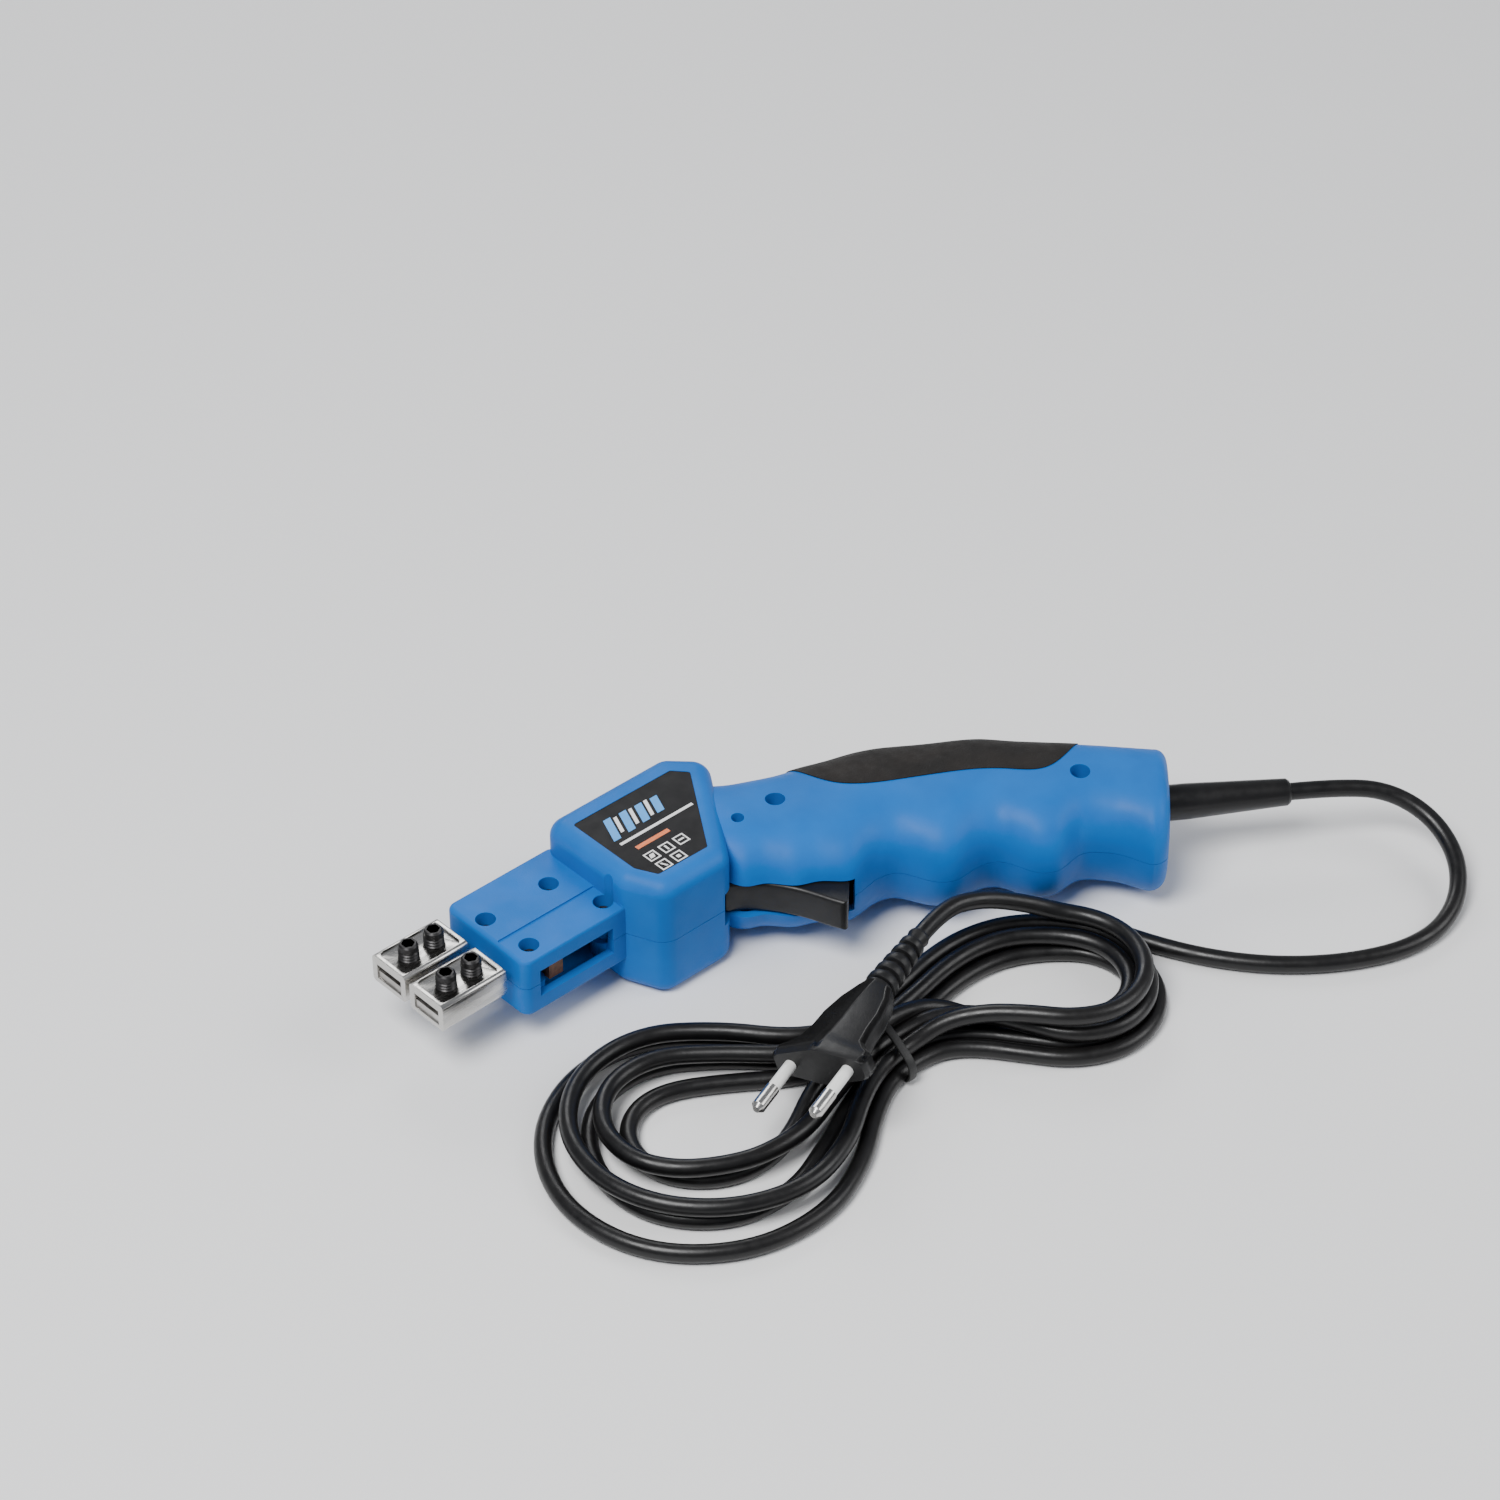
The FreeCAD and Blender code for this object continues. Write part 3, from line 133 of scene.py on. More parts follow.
def turn_point(turn, i):
    """Where one turn passes station i."""
    lane = TURN_LANES[turn]
    if turn < 4:
        lane += (TURN_LANES[turn + 1] - lane) * ramp(*LANE_CHANGES[turn], i)
    upper = 1.0 if turn > 2 else 0.0
    if turn == 2:
        upper = ramp(20, 22, i)
    tied = ramp(2, 3, i) * (1 - ramp(4, 5, i)) + ramp(15, 16, i) * (1 - ramp(17, 18, i))
    z = FLOOR_LAYER + upper * (SECOND_LAYER - FLOOR_LAYER - PRESSED * tied)
    size, pace, start = WANDER[turn]
    open_lobe = ramp(4, 8, i) * (1 - ramp(12.5, 15.5, i))
    lane += open_lobe * size * math.sin(i * pace + start)
    if turn == 2 and i in HUMP:
        lane += HUMP[i][0]
        z = HUMP[i][1]
    if turn == 4 and i > CLIMB_AFTER:
        z = min(CLIMB_TOP, SECOND_LAYER + (i - CLIMB_AFTER) * CLIMB)
    return beside(i, lane, z)


turns = []
for turn in range(5):
    last = len(HANK) if turn < 4 else 21
    turns += [turn_point(turn, i) for i in range(last)]
print("turns:", len(turns), "points")

# %% [markdown]
# Before the hank, the cord runs straight out of the boot for a few diameters, and
# falls in one easy curve to the floor. After it, the last turn climbs on to the
# bundle, rounds the end on top of the others, and rises into the tail of the plug.

# %% The whole route
RAKE = math.radians(34.3)
ALONG = Vector((math.cos(RAKE), -math.sin(RAKE), 0))
ACROSS = Vector((math.sin(RAKE), math.cos(RAKE), 0))
BOOT_MOUTH = Vector((26, -9, 20)) + ALONG * 159 + ACROSS * 4.5
PLUG_FACE = Vector((-24, -90, 22.5))
PLUG_POINTS = Vector((-0.947, -0.306, -0.05)).normalized()
PLUG_LENGTH = 58              # from its face to the end of its tail
PLUG_TAIL = PLUG_FACE - PLUG_POINTS * PLUG_LENGTH
STRAIGHT_IN = 12.5            # how far the cord lies in line with the tail before it
INTO_TAIL = 4

lead_in = [
    BOOT_MOUTH, BOOT_MOUTH + ALONG * 14, (183.5, -112, 18), (188.5, -125, 13.5), (185, -138.5, 8.5),
    (175, -148, 4.4), (161.5, -152.5, 2.8), (148, -151.5, 2.7), (135, -146, 2.7), (123, -138, 2.7),
    (112.5, -128, 2.7), (104, -116.5, 2.7), (97.5, -104, 2.7),
    beside(26, 3.4, 2.7), beside(27, 2.7, 2.7), beside(28, 2.1, 2.7),
]
OVER_THE_TOP = [(21, 0.9, 15.0), (22, 0.6, 14.2), (23, 0.4, 13.8), (24, 0.4, 13.7), (25, 0.4, 13.6),
                (26, 0.3, 13.6), (27, 0.0, 14.6)]
lead_out = [beside(*place) for place in OVER_THE_TOP]
lead_out += [(69.5, -76.5, 18), (57.5, -70.3, 23)]
lead_out += [PLUG_TAIL - PLUG_POINTS * STRAIGHT_IN, PLUG_TAIL + PLUG_POINTS * INTO_TAIL]
route = [Vector(p) * MM for p in lead_in + turns + lead_out]
print("route:", len(route), "points")

# %% Make the curve
cord_curve = bpy.data.curves.new("mains_lead", "CURVE")
cord_curve.dimensions = "3D"
cord_curve.bevel_depth = CORD_THICK / 2 * MM
cord_curve.bevel_resolution = 6
cord_curve.resolution_u = 8
cord_curve.use_fill_caps = True
spline = cord_curve.splines.new("NURBS")
spline.points.add(len(route) - 1)
for point, place in zip(spline.points, route):
    point.co = (*place, 1.0)
spline.order_u = 3
spline.use_endpoint_u = True
mains_lead = bpy.data.objects.new("mains_lead", cord_curve)
bpy.context.collection.objects.link(mains_lead)

# %% [markdown]
# ## Finishes
# Every material starts as a Principled shader. Small helpers add what real surfaces
# have: a moulded grain from noise, read from object coordinates so that it keeps its
# real size, and a roughness that changes slightly from place to place.

# %% Helpers for materials


def material(name, colour, roughness, metallic=0.0, shine=0.5):
    """A Principled material; gives the material and its shader node. Shine is 0.5 for
    a bare plastic and less for a dull or dusty one."""
    made = bpy.data.materials.new(name)
    made.use_nodes = True
    shader = made.node_tree.nodes["Principled BSDF"]
    shader.inputs["Base Color"].default_value = (*colour, 1)
    shader.inputs["Roughness"].default_value = roughness
    shader.inputs["Metallic"].default_value = metallic
    shader.inputs["Specular IOR Level"].default_value = shine
    return made, shader


def noise(made, scale, detail=3.0, stretch=(1, 1, 1)):
    """Noise in object coordinates; scale is in lumps per metre."""
    tree = made.node_tree
    coordinates = tree.nodes.new("ShaderNodeTexCoord")
    mapping = tree.nodes.new("ShaderNodeMapping")
    mapping.inputs["Scale"].default_value = stretch
    texture = tree.nodes.new("ShaderNodeTexNoise")
    texture.inputs["Scale"].default_value = scale
    texture.inputs["Detail"].default_value = detail
    tree.links.new(coordinates.outputs["Object"], mapping.inputs["Vector"])
    tree.links.new(mapping.outputs["Vector"], texture.inputs["Vector"])
    return texture.outputs["Fac"]


def vary(made, source, low, high, socket):
    """Drives a number of the shader from a noise, between low and high."""
    tree = made.node_tree
    span = tree.nodes.new("ShaderNodeMapRange")
    span.inputs["From Min"].default_value = 0.3
    span.inputs["From Max"].default_value = 0.7
    span.inputs["To Min"].default_value = low
    span.inputs["To Max"].default_value = high
    tree.links.new(source, span.inputs["Value"])
    tree.links.new(span.outputs["Result"], socket)


def tint(made, shader, source, first, second):
    """Mixes two colours by a noise."""
    tree = made.node_tree
    blend = tree.nodes.new("ShaderNodeValToRGB")
    blend.color_ramp.elements[0].position = 0.35
    blend.color_ramp.elements[0].color = (*first, 1)
    blend.color_ramp.elements[1].position = 0.65
    blend.color_ramp.elements[1].color = (*second, 1)
    tree.links.new(source, blend.inputs["Fac"])
    tree.links.new(blend.outputs["Color"], shader.inputs["Base Color"])


def grain(made, shader, source, depth, strength=1.0):
    """Turns a noise into a relief of a real depth, in metres."""
    tree = made.node_tree
    relief = tree.nodes.new("ShaderNodeBump")
    relief.inputs["Distance"].default_value = depth
    relief.inputs["Strength"].default_value = strength
    tree.links.new(source, relief.inputs["Height"])
    tree.links.new(relief.outputs["Normal"], shader.inputs["Normal"])


print("material helpers ready")

# %% [markdown]
# The housing is moulded ABS in a clear mid-blue. The mould is spark-eroded, so the
# skin has a fine, even grain and a soft gloss, never a mirror.

# %% Plastics and rubber
housing_blue, shader = material("housing_blue", (0.004, 0.13, 0.47), 0.46, shine=0.2)
tint(housing_blue, shader, noise(housing_blue, 60), (0.003, 0.122, 0.445), (0.005, 0.138, 0.495))
vary(housing_blue, noise(housing_blue, 140), 0.42, 0.54, shader.inputs["Roughness"])
grain(housing_blue, shader, noise(housing_blue, 2200, 2), 0.00006, 0.55)

grip_rubber, shader = material("grip_rubber", (0.012, 0.0105, 0.0095), 0.66, shine=0.25)
tint(grip_rubber, shader, noise(grip_rubber, 90), (0.009, 0.008, 0.0075), (0.016, 0.0135, 0.012))
vary(grip_rubber, noise(grip_rubber, 300), 0.55, 0.72, shader.inputs["Roughness"])
grain(grip_rubber, shader, noise(grip_rubber, 1800, 3), 0.00012, 0.8)

trigger_black, shader = material("trigger_black", (0.006, 0.006, 0.0065), 0.36, shine=0.4)
vary(trigger_black, noise(trigger_black, 260), 0.32, 0.46, shader.inputs["Roughness"])
grain(trigger_black, shader, noise(trigger_black, 2600, 2), 0.00005, 0.5)

switch_black, shader = material("switch_black", (0.014, 0.014, 0.015), 0.45)
vary(switch_black, noise(switch_black, 400), 0.4, 0.52, shader.inputs["Roughness"])

cord_black, shader = material("cord_black", (0.011, 0.011, 0.012), 0.34, shine=0.4)
tint(cord_black, shader, noise(cord_black, 45), (0.004, 0.004, 0.0045), (0.007, 0.0065, 0.0065))
vary(cord_black, noise(cord_black, 350), 0.28, 0.42, shader.inputs["Roughness"])
grain(cord_black, shader, noise(cord_black, 900, 3), 0.00006, 0.5)

plug_black, shader = material("plug_black", (0.006, 0.006, 0.0065), 0.42, shine=0.4)
vary(plug_black, noise(plug_black, 300), 0.34, 0.48, shader.inputs["Roughness"])
grain(plug_black, shader, noise(plug_black, 1900, 3), 0.00007, 0.6)

tie_black, shader = material("tie_black", (0.01, 0.01, 0.01), 0.5)
grain(tie_black, shader, noise(tie_black, 1500, 2), 0.00005, 0.5)

sleeve_white, shader = material("sleeve_white", (0.82, 0.82, 0.8), 0.35)
vary(sleeve_white, noise(sleeve_white, 500), 0.3, 0.42, shader.inputs["Roughness"])

bobbin_nylon, shader = material("bobbin_nylon", (0.75, 0.72, 0.62), 0.5)
vary(bobbin_nylon, noise(bobbin_nylon, 400), 0.42, 0.58, shader.inputs["Roughness"])

insulator_brown, shader = material("insulator_brown", (0.16, 0.07, 0.03), 0.55)
tint(insulator_brown, shader, noise(insulator_brown, 700, 5), (0.11, 0.05, 0.02), (0.2, 0.09, 0.04))

label_black, shader = material("label_black", (0.005, 0.005, 0.006), 0.5, shine=0.25)
vary(label_black, noise(label_black, 200), 0.45, 0.56, shader.inputs["Roughness"])

wire_brown, shader = material("wire_brown", (0.12, 0.045, 0.02), 0.4)
vary(wire_brown, noise(wire_brown, 600), 0.35, 0.5, shader.inputs["Roughness"])
wire_blue, shader = material("wire_blue", (0.03, 0.12, 0.5), 0.4)
vary(wire_blue, noise(wire_blue, 600), 0.35, 0.5, shader.inputs["Roughness"])
print("plastics ready")

# %% [markdown]
# The clamps are cut from steel bar and nickel-plated. Plating is bright but follows
# the machining under it, so the gloss is drawn out along the bar, with faint marks.
# The heavy bars are copper, but tinned where they can be seen, so they are a dull
# silver. The fine windings keep the red-brown of their enamel.

# %% Metals
nickel_plate, shader = material("nickel_plate", (0.55, 0.54, 0.52), 0.22, 1.0)
vary(nickel_plate, noise(nickel_plate, 500, 4, (0.15, 1, 1)), 0.14, 0.34, shader.inputs["Roughness"])
grain(nickel_plate, shader, noise(nickel_plate, 1500, 3, (0.12, 1, 1)), 0.00003, 0.5)

black_oxide, shader = material("black_oxide", (0.03, 0.029, 0.03), 0.36, 0.7)
vary(black_oxide, noise(black_oxide, 900), 0.28, 0.48, shader.inputs["Roughness"])

zinc_steel, shader = material("zinc_steel", (0.5, 0.5, 0.5), 0.32, 1.0)
vary(zinc_steel, noise(zinc_steel, 900), 0.25, 0.42, shader.inputs["Roughness"])

dark_steel, shader = material("dark_steel", (0.06, 0.06, 0.065), 0.38, 0.8)
vary(dark_steel, noise(dark_steel, 900), 0.3, 0.48, shader.inputs["Roughness"])

core_steel, shader = material("core_steel", (0.2, 0.2, 0.21), 0.45, 0.9)
grain(core_steel, shader, noise(core_steel, 2000, 1, (1, 0.02, 0.02)), 0.0001, 0.8)

bar_tinned, shader = material("bar_tinned", (0.5, 0.49, 0.47), 0.38, 1.0)
tint(bar_tinned, shader, noise(bar_tinned, 120, 4), (0.4, 0.385, 0.365), (0.58, 0.57, 0.55))
vary(bar_tinned, noise(bar_tinned, 700), 0.32, 0.46, shader.inputs["Roughness"])

enamelled_copper, shader = material("enamelled_copper", (0.42, 0.12, 0.04), 0.3, 0.8)
grain(enamelled_copper, shader, noise(enamelled_copper, 1200, 1, (0.05, 0.05, 1)), 0.0002, 0.9)
print("metals ready")

# %% [markdown]
# ## Dressing the CAD nodes
# A CAD mesh arrives as loose triangles. A Weld modifier joins them without touching
# the mesh itself, and a small node group shades across gentle edges and keeps sharp
# ones. Machined and moulded pieces also get a fine bevel, because no real edge is
# perfectly sharp and the light on a bevel is what the eye looks for.

# %% A node group that shades smoothly up to an angle


def smooth_group():
    tree = bpy.data.node_groups.new("smooth_to_angle", "GeometryNodeTree")
    tree.interface.new_socket("Geometry", in_out="INPUT", socket_type="NodeSocketGeometry")
    tree.interface.new_socket("Geometry", in_out="OUTPUT", socket_type="NodeSocketGeometry")
    start = tree.nodes.new("NodeGroupInput")
    end = tree.nodes.new("NodeGroupOutput")
    angle = tree.nodes.new("GeometryNodeInputMeshEdgeAngle")
    gentle = tree.nodes.new("FunctionNodeCompare")
    gentle.data_type = "FLOAT"
    gentle.operation = "LESS_THAN"
    gentle.inputs["B"].default_value = math.radians(28)
    faces = tree.nodes.new("GeometryNodeSetShadeSmooth")
    faces.domain = "FACE"
    edges = tree.nodes.new("GeometryNodeSetShadeSmooth")
    edges.domain = "EDGE"
    tree.links.new(start.outputs[0], faces.inputs["Geometry"])
    tree.links.new(faces.outputs[0], edges.inputs["Geometry"])
    tree.links.new(angle.outputs["Unsigned Angle"], gentle.inputs["A"])
    tree.links.new(gentle.outputs[0], edges.inputs["Shade Smooth"])
    tree.links.new(edges.outputs[0], end.inputs[0])
    return tree


SMOOTH = smooth_group()


def dress(piece, finish, bevel=0.0):
    """Gives a CAD node its finish, welded and shaded, with a bevel if asked for."""
    piece.data.materials.clear()
    piece.data.materials.append(finish)
    weld = piece.modifiers.new("weld", "WELD")
    weld.merge_threshold = 0.000004
    if bevel:
        soften = piece.modifiers.new("soften", "BEVEL")
        soften.width = bevel
        soften.segments = 2
        soften.limit_method = "ANGLE"
        soften.angle_limit = math.radians(40)
        soften.use_clamp_overlap = True
    piece.modifiers.new("shade", "NODES").node_group = SMOOTH


print("shading group ready")

# %% Finishes by node
CAD_FINISHES = {
    "left_shell": housing_blue, "right_shell": housing_blue,
    "grip_inlay_left": grip_rubber, "grip_inlay_right": grip_rubber,
    "rating_label": label_black, "trigger": trigger_black, "trigger_pin": zinc_steel,
    "switch_body": switch_black, "switch_plunger": switch_black,
    "transformer_core": core_steel, "coil_bobbins": bobbin_nylon,
    "primary_windings": enamelled_copper, "secondary_hairpin": bar_tinned,
    "bar_insulator": insulator_brown, "blade_clamp_near": nickel_plate,
    "blade_clamp_far": nickel_plate, "nose_screws": dark_steel, "handle_screws": dark_steel,
    "neck_screw": dark_steel, "cord_boot": cord_black, "cord_clamp_bar": switch_black,
    "cord_clamp_screws": zinc_steel, "wire_line": wire_brown, "wire_neutral": wire_blue,
    "wire_switched": wire_brown, "cord_inner": cord_black, "plug_pins": nickel_plate,
    "plug_sleeves": sleeve_white,
}
BEVELS = {"blade_clamp_near": 0.00025, "blade_clamp_far": 0.00025, "cord_boot": 0.0003,
          "plug_sleeves": 0.0002, "nose_screws": 0.0002, "handle_screws": 0.0002}
for name, finish in CAD_FINISHES.items():
    dress(nodes[name], finish, BEVELS.get(name, 0.0))
print("dressed:", len(CAD_FINISHES), "nodes")

# %% The lead takes its finish, rides on the housing, and hides its CAD nodes
cord_curve.materials.append(cord_black)
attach(mains_lead, "housing")
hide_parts("cord_lead", "cord_hank", "cord_plug_end")

# %% [markdown]
# ## Helpers for made pieces
# A made piece starts as a bmesh, is shaped by operators, and ends as an object at the
# origin with its place in its mesh.

# %% From a bmesh to a piece


def piece_from(bm, name, finish, place=None, smooth=True):
    """Turns a bmesh into an object; place moves the mesh, not the object."""
    if place is not None:
        bmesh.ops.transform(bm, matrix=place, verts=bm.verts)
    bmesh.ops.remove_doubles(bm, verts=bm.verts, dist=0.0000005)
    bmesh.ops.recalc_face_normals(bm, faces=bm.faces)
    mesh = bpy.data.meshes.new(name)
    bm.to_mesh(mesh)
    bm.free()
    mesh.materials.append(finish)
    for face in mesh.polygons:
        face.use_smooth = smooth
    piece = bpy.data.objects.new(name, mesh)
    bpy.context.collection.objects.link(piece)
    if smooth:
        piece.modifiers.new("shade", "NODES").node_group = SMOOTH
    print("made %s: %d faces" % (name, len(mesh.polygons)))
    return piece


def frame_of(origin, x_axis, y_axis):
    """A matrix that puts a piece's own X and Y along two directions."""
    z_axis = x_axis.cross(y_axis).normalized()
    turn = Matrix((x_axis, y_axis, z_axis)).transposed().to_4x4()
    return Matrix.Translation(origin) @ turn


def turned(bm, profile, steps=40):
    """Spins a profile of (distance along X, radius) about the X axis."""
    line = [bm.verts.new((x, r, 0)) for x, r in profile]
    edges = [bm.edges.new(pair) for pair in zip(line, line[1:])]
    bmesh.ops.spin(bm, geom=line + edges, cent=(0, 0, 0), axis=(1, 0, 0),
                   angle=math.tau, steps=steps, use_merge=True)


# %% [markdown]
# ## The plug
# A flat two-pin plug is moulded on to the cord: a wide end that carries the pins, a
# waist to pull on, and a ribbed tail that bends. The body is a hexagon pushed out
# section by section; each section is an extrusion of the last face, scaled. The tail
# is a spun profile. A bevel gives the soft moulded corners.

# %% Make the plug
WIDE = Vector((0, 0, 1)).cross(PLUG_POINTS).normalized()
PLUG_ROLL = 20                # degrees about its own length, as it leans on the hank
WIDE.rotate(Matrix.Rotation(math.radians(PLUG_ROLL), 3, PLUG_POINTS))
PLUG_SECTIONS = [(0, 16.4, 6.1), (1.2, 17.4, 6.7), (4.6, 17.4, 6.8), (6.4, 14.6, 6.7), (8.5, 12.4, 6.4),
                 (14, 11.3, 6.1), (20, 11.0, 6.0), (27, 9.2, 5.6), (32, 6.6, 5.2), (34, 5.0, 4.8)]


def plug_body():
    bm = bmesh.new()
    bmesh.ops.create_circle(bm, cap_ends=True, segments=6, radius=1.0)
    bmesh.ops.rotate(bm, verts=bm.verts, matrix=Matrix.Rotation(math.radians(90), 3, "Y"))
    bmesh.ops.rotate(bm, verts=bm.verts, matrix=Matrix.Rotation(math.radians(90), 3, "X"))
    tip = bm.faces[:][0]
    last = (0, 1.0, 1.0)
    for number, (back, half_wide, half_thick) in enumerate(PLUG_SECTIONS):
        if number:
            grown = bmesh.ops.extrude_face_region(bm, geom=[tip])
            tip = [f for f in grown["geom"] if isinstance(f, bmesh.types.BMFace)][0]
        size = (1, half_wide / last[1], half_thick / last[2])
        bmesh.ops.scale(bm, vec=size, verts=tip.verts)
        bmesh.ops.translate(bm, vec=(last[0] - back, 0, 0), verts=tip.verts)
        last = (back, half_wide, half_thick)
    long_edges = [e for e in bm.edges if abs(e.verts[0].co.x - e.verts[1].co.x) > 0.5]
    bmesh.ops.bevel(bm, geom=long_edges, offset=1.6, offset_type="OFFSET", affect="EDGES",
                    segments=3, profile=0.5, material=-1)
    return bm


def plug_tail(bm):
    """Adds the ribbed tail behind the body."""
    profile = [(-32, 4.7)]
    for rib in range(5):
        start, crest = -34.5 - rib * 4.2, 4.7 - 0.28 * rib
        profile += [(start, crest - 1.0), (start - 0.35, crest - 0.15), (start - 0.8, crest),
                    (start - 2.3, crest), (start - 2.75, crest - 0.15), (start - 3.1, crest - 1.0)]
    profile += [(-57.2, 3.2), (-57.9, 3.0), (-58, 2.7)]
    turned(bm, profile)


bm = plug_body()
plug_tail(bm)
bmesh.ops.scale(bm, vec=(MM, MM, MM), verts=bm.verts)
plug = piece_from(bm, "plug_moulding", plug_black, frame_of(PLUG_FACE * MM, PLUG_POINTS, WIDE))
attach(plug, "housing")
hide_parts("plug_body")

# %% [markdown]
# ## The tie
# One thin plastic band holds the waist of the hank. It is a closed curve through the
# outermost cords, given a flat section, and then made a mesh so that its place can be
# in its vertices.

# %% Make the tie
TIE_AT = Vector((7, -79.6, 0))
TIE_TURN = -2                 # degrees
TIE_SECTION = [(-13.5, 0.9), (-15.9, 3.0), (-15.6, 8.2), (-9.8, 12.0), (-4.0, 15.0), (3.6, 14.9),
               (9.4, 12.0), (15.5, 8.4), (15.9, 3.0), (13.5, 0.9)]
tie_curve = bpy.data.curves.new("tie", "CURVE")
tie_curve.dimensions = "3D"
tie_curve.extrude = 0.0009
tie_curve.bevel_depth = 0.00045
tie_curve.bevel_resolution = 2
tie_curve.resolution_u = 6
loop = tie_curve.splines.new("NURBS")
loop.points.add(len(TIE_SECTION) - 1)
for point, (across, up) in zip(loop.points, TIE_SECTION):
    point.co = (across * MM, up * MM, 0, 1)
loop.order_u = 3
loop.use_cyclic_u = True
draft = bpy.data.objects.new("tie_draft", tie_curve)
bpy.context.collection.objects.link(draft)
bpy.context.view_layer.update()
band = bpy.data.meshes.new_from_object(draft)
bpy.data.objects.remove(draft)
bm = bmesh.new()
bm.from_mesh(band)
stand = Matrix.Rotation(math.radians(90), 4, "Z") @ Matrix.Rotation(math.radians(90), 4, "X")
place = Matrix.Translation(TIE_AT * MM) @ Matrix.Rotation(math.radians(TIE_TURN), 4, "Z") @ stand
tie = piece_from(bm, "hank_tie", tie_black, place)
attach(tie, "housing")
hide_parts("cord_tie")

# %% [markdown]
# ## Set screws
# Each clamp has two socket set screws. Their threads show above the plate, so they are
# spun with a zigzag profile of the real pitch. A hexagon pushed down into the top
# makes the socket. Every screw replaces its own CAD node and rides on its own body.

# %% Make one set screw
THREAD_PITCH = 1.0
SCREW_RADIUS = 2.93
KEY_RADIUS = 1.95             # to the corners of the hexagon
KEY_DEEP = 3.4


def set_screw(name):
    low, high = (Vector(c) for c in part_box(name))
    middle = (low + high) / 2
    length = (high.z - low.z) / MM
    profile = [(0, 0), (0, SCREW_RADIUS - 0.8)]
    teeth = int(length / THREAD_PITCH) - 1
    for tooth in range(teeth):
        start = 0.7 + tooth * THREAD_PITCH
        profile += [(start, SCREW_RADIUS - 0.5), (start + 0.42, SCREW_RADIUS), (start + 0.58, SCREW_RADIUS)]
    profile += [(length - 0.45, SCREW_RADIUS - 0.25), (length, SCREW_RADIUS - 0.7)]
    bm = bmesh.new()
    turned(bm, profile, 36)
    bmesh.ops.rotate(bm, verts=bm.verts, matrix=Matrix.Rotation(math.radians(-90), 3, "Y"))
    rim = [e for e in bm.edges if e.is_boundary and e.verts[0].co.z > length - 0.1]
    hexagon = bmesh.ops.create_circle(bm, segments=6, radius=KEY_RADIUS)["verts"]
    bmesh.ops.translate(bm, vec=(0, 0, length), verts=hexagon)
    key = list({e for v in hexagon for e in v.link_edges})
    bmesh.ops.bridge_loops(bm, edges=rim + key)
    wall = bmesh.ops.extrude_edge_only(bm, edges=key)["geom"]
    bottom = [v for v in wall if isinstance(v, bmesh.types.BMVert)]
    bmesh.ops.translate(bm, vec=(0, 0, -KEY_DEEP), verts=bottom)
    bmesh.ops.contextual_create(bm, geom=[e for e in wall if isinstance(e, bmesh.types.BMEdge)])
    bmesh.ops.scale(bm, vec=(MM, MM, MM), verts=bm.verts)
    return piece_from(bm, name + "_threaded", black_oxide, Matrix.Translation((middle.x, middle.y, low.z)))


for side in ("near", "far"):
    for end in ("front", "rear"):
        screw = set_screw("set_screw_%s_%s" % (side, end))
        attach(screw, "screw_%s_%s" % (side, end))
        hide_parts("set_screw_%s_%s" % (side, end))

# %% [markdown]
# ## Printing on the label
# The label is a black film let into the box. Its printing is generic: slanted bars in
# two blues, a white rule, an orange line and a row of small framed signs. Each colour
# is one thin mesh just above the film, so the print is crisp at any distance.

# %% Print helpers
LABEL_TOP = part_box("rating_label")[1][2]
PRINT_THICK = 0.04


def bar(bm, x, y, wide, high, lean=0.0):
    """A printed rectangle centred at x, y, leaning by so many degrees."""
    made = bmesh.ops.create_cube(bm, size=1.0)["verts"]
    bmesh.ops.scale(bm, vec=(wide, high, PRINT_THICK), verts=made)
    slope = Matrix.Identity(3)
    slope[0][1] = math.tan(math.radians(lean))
    bmesh.ops.transform(bm, matrix=slope, verts=made)
    bmesh.ops.translate(bm, vec=(x, y, 0), verts=made)


def outline_square(bm, x, y, size, line):
    """A framed square made of four bars."""
    reach = (size - line) / 2
    for side in (-1, 1):
        bar(bm, x + side * reach, y, line, size)
        bar(bm, x, y + side * reach, size - 2 * line, line)


def print_piece(bm, name, colour):
    finish, shader = material(name, colour, 0.35)
    vary(finish, noise(finish, 500), 0.3, 0.42, shader.inputs["Roughness"])
    bmesh.ops.scale(bm, vec=(MM, MM, MM), verts=bm.verts)
    lift = Matrix.Translation((0, 0, LABEL_TOP + PRINT_THICK / 2 * MM))
    piece = piece_from(bm, name, finish, lift, smooth=False)
    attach(piece, "housing")
    return piece


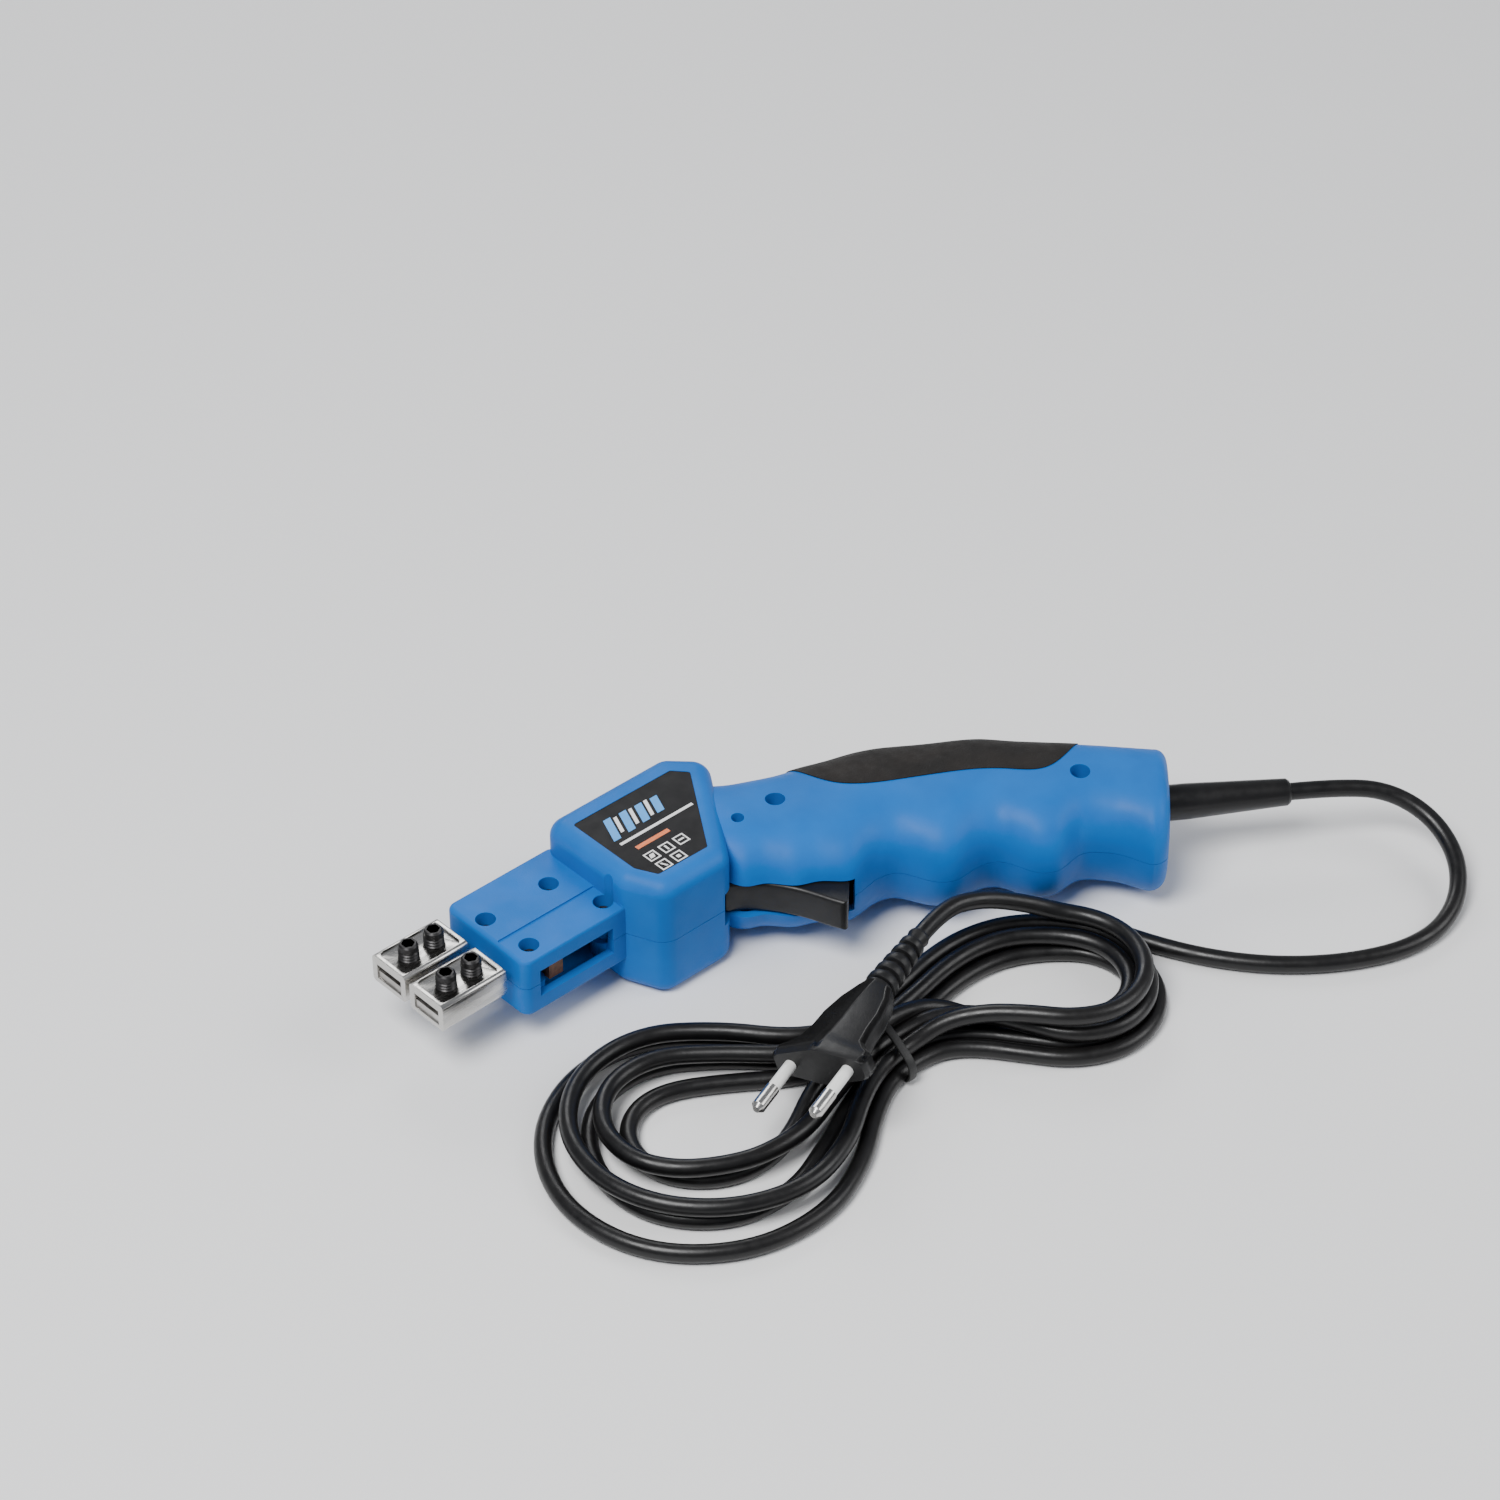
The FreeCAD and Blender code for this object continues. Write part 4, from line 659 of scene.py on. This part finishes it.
# %% Print the label
bm = bmesh.new()
for step in range(4):
    bar(bm, -12.2 + step * 5.6, 7.0, 2.6, 9.0 - step * 0.9, 22)
print_piece(bm, "print_blue", (0.04, 0.32, 0.78))
bm = bmesh.new()
for step in range(3):
    bar(bm, -9.4 + step * 5.6, 7.4, 1.2, 6.4, 22)
bar(bm, -1.4, 0.4, 27.0, 1.0)
for x, y in ((-11.6, -9.2), (-6.2, -9.2), (-0.8, -9.2), (-11.6, -14.2), (-6.2, -14.2)):
    outline_square(bm, x, y, 3.8, 0.45)
bar(bm, -11.6, -9.2, 1.6, 1.6, 20)
bar(bm, -6.2, -9.2, 0.6, 2.0)
bar(bm, -0.8, -9.2, 2.0, 0.6)
bar(bm, -11.6, -14.2, 0.6, 2.0, -25)
bar(bm, -6.2, -14.2, 1.2, 1.2)
print_piece(bm, "print_white", (0.8, 0.8, 0.8))
bm = bmesh.new()
bar(bm, -6.6, -3.8, 12.0, 1.5)
print_piece(bm, "print_orange", (0.75, 0.16, 0.03))

# %% [markdown]
# ## Floor and light
# The floor is plain and pale. A large soft light stands high on the left, a weaker
# one on the right fills the shadows, and a bright surround gives the plating and the
# black plastics something to reflect.

# %% Floor
bm = bmesh.new()
bmesh.ops.create_grid(bm, x_segments=1, y_segments=1, size=3.0)
floor_finish, shader = material("floor_finish", (0.86, 0.86, 0.86), 0.7)
vary(floor_finish, noise(floor_finish, 20), 0.65, 0.75, shader.inputs["Roughness"])
floor = piece_from(bm, "floor", floor_finish, smooth=False)

# %% Lights


def soft_light(name, place, size, power):
    data = bpy.data.lights.new(name, "AREA")
    data.shape = "DISK"
    data.size = size
    data.energy = power
    lamp = bpy.data.objects.new(name, data)
    lamp.location = place
    aim = Vector((0.04, -0.04, 0.02)) - Vector(place)
    lamp.rotation_euler = aim.to_track_quat("-Z", "Y").to_euler()
    bpy.context.collection.objects.link(lamp)
    print("light", name, power, "W")


soft_light("key", (-0.7, -0.2, 1.25), 0.7, 25)
soft_light("fill", (0.9, -0.9, 0.9), 0.9, 8)
soft_light("back", (0.5, 0.9, 0.8), 0.6, 4)
world = bpy.data.worlds.new("surround")
world.use_nodes = True
world.node_tree.nodes["Background"].inputs["Color"].default_value = (0.9, 0.93, 1.0, 1)
world.node_tree.nodes["Background"].inputs["Strength"].default_value = 0.32
bpy.context.scene.world = world

# %% End
print("scene built")
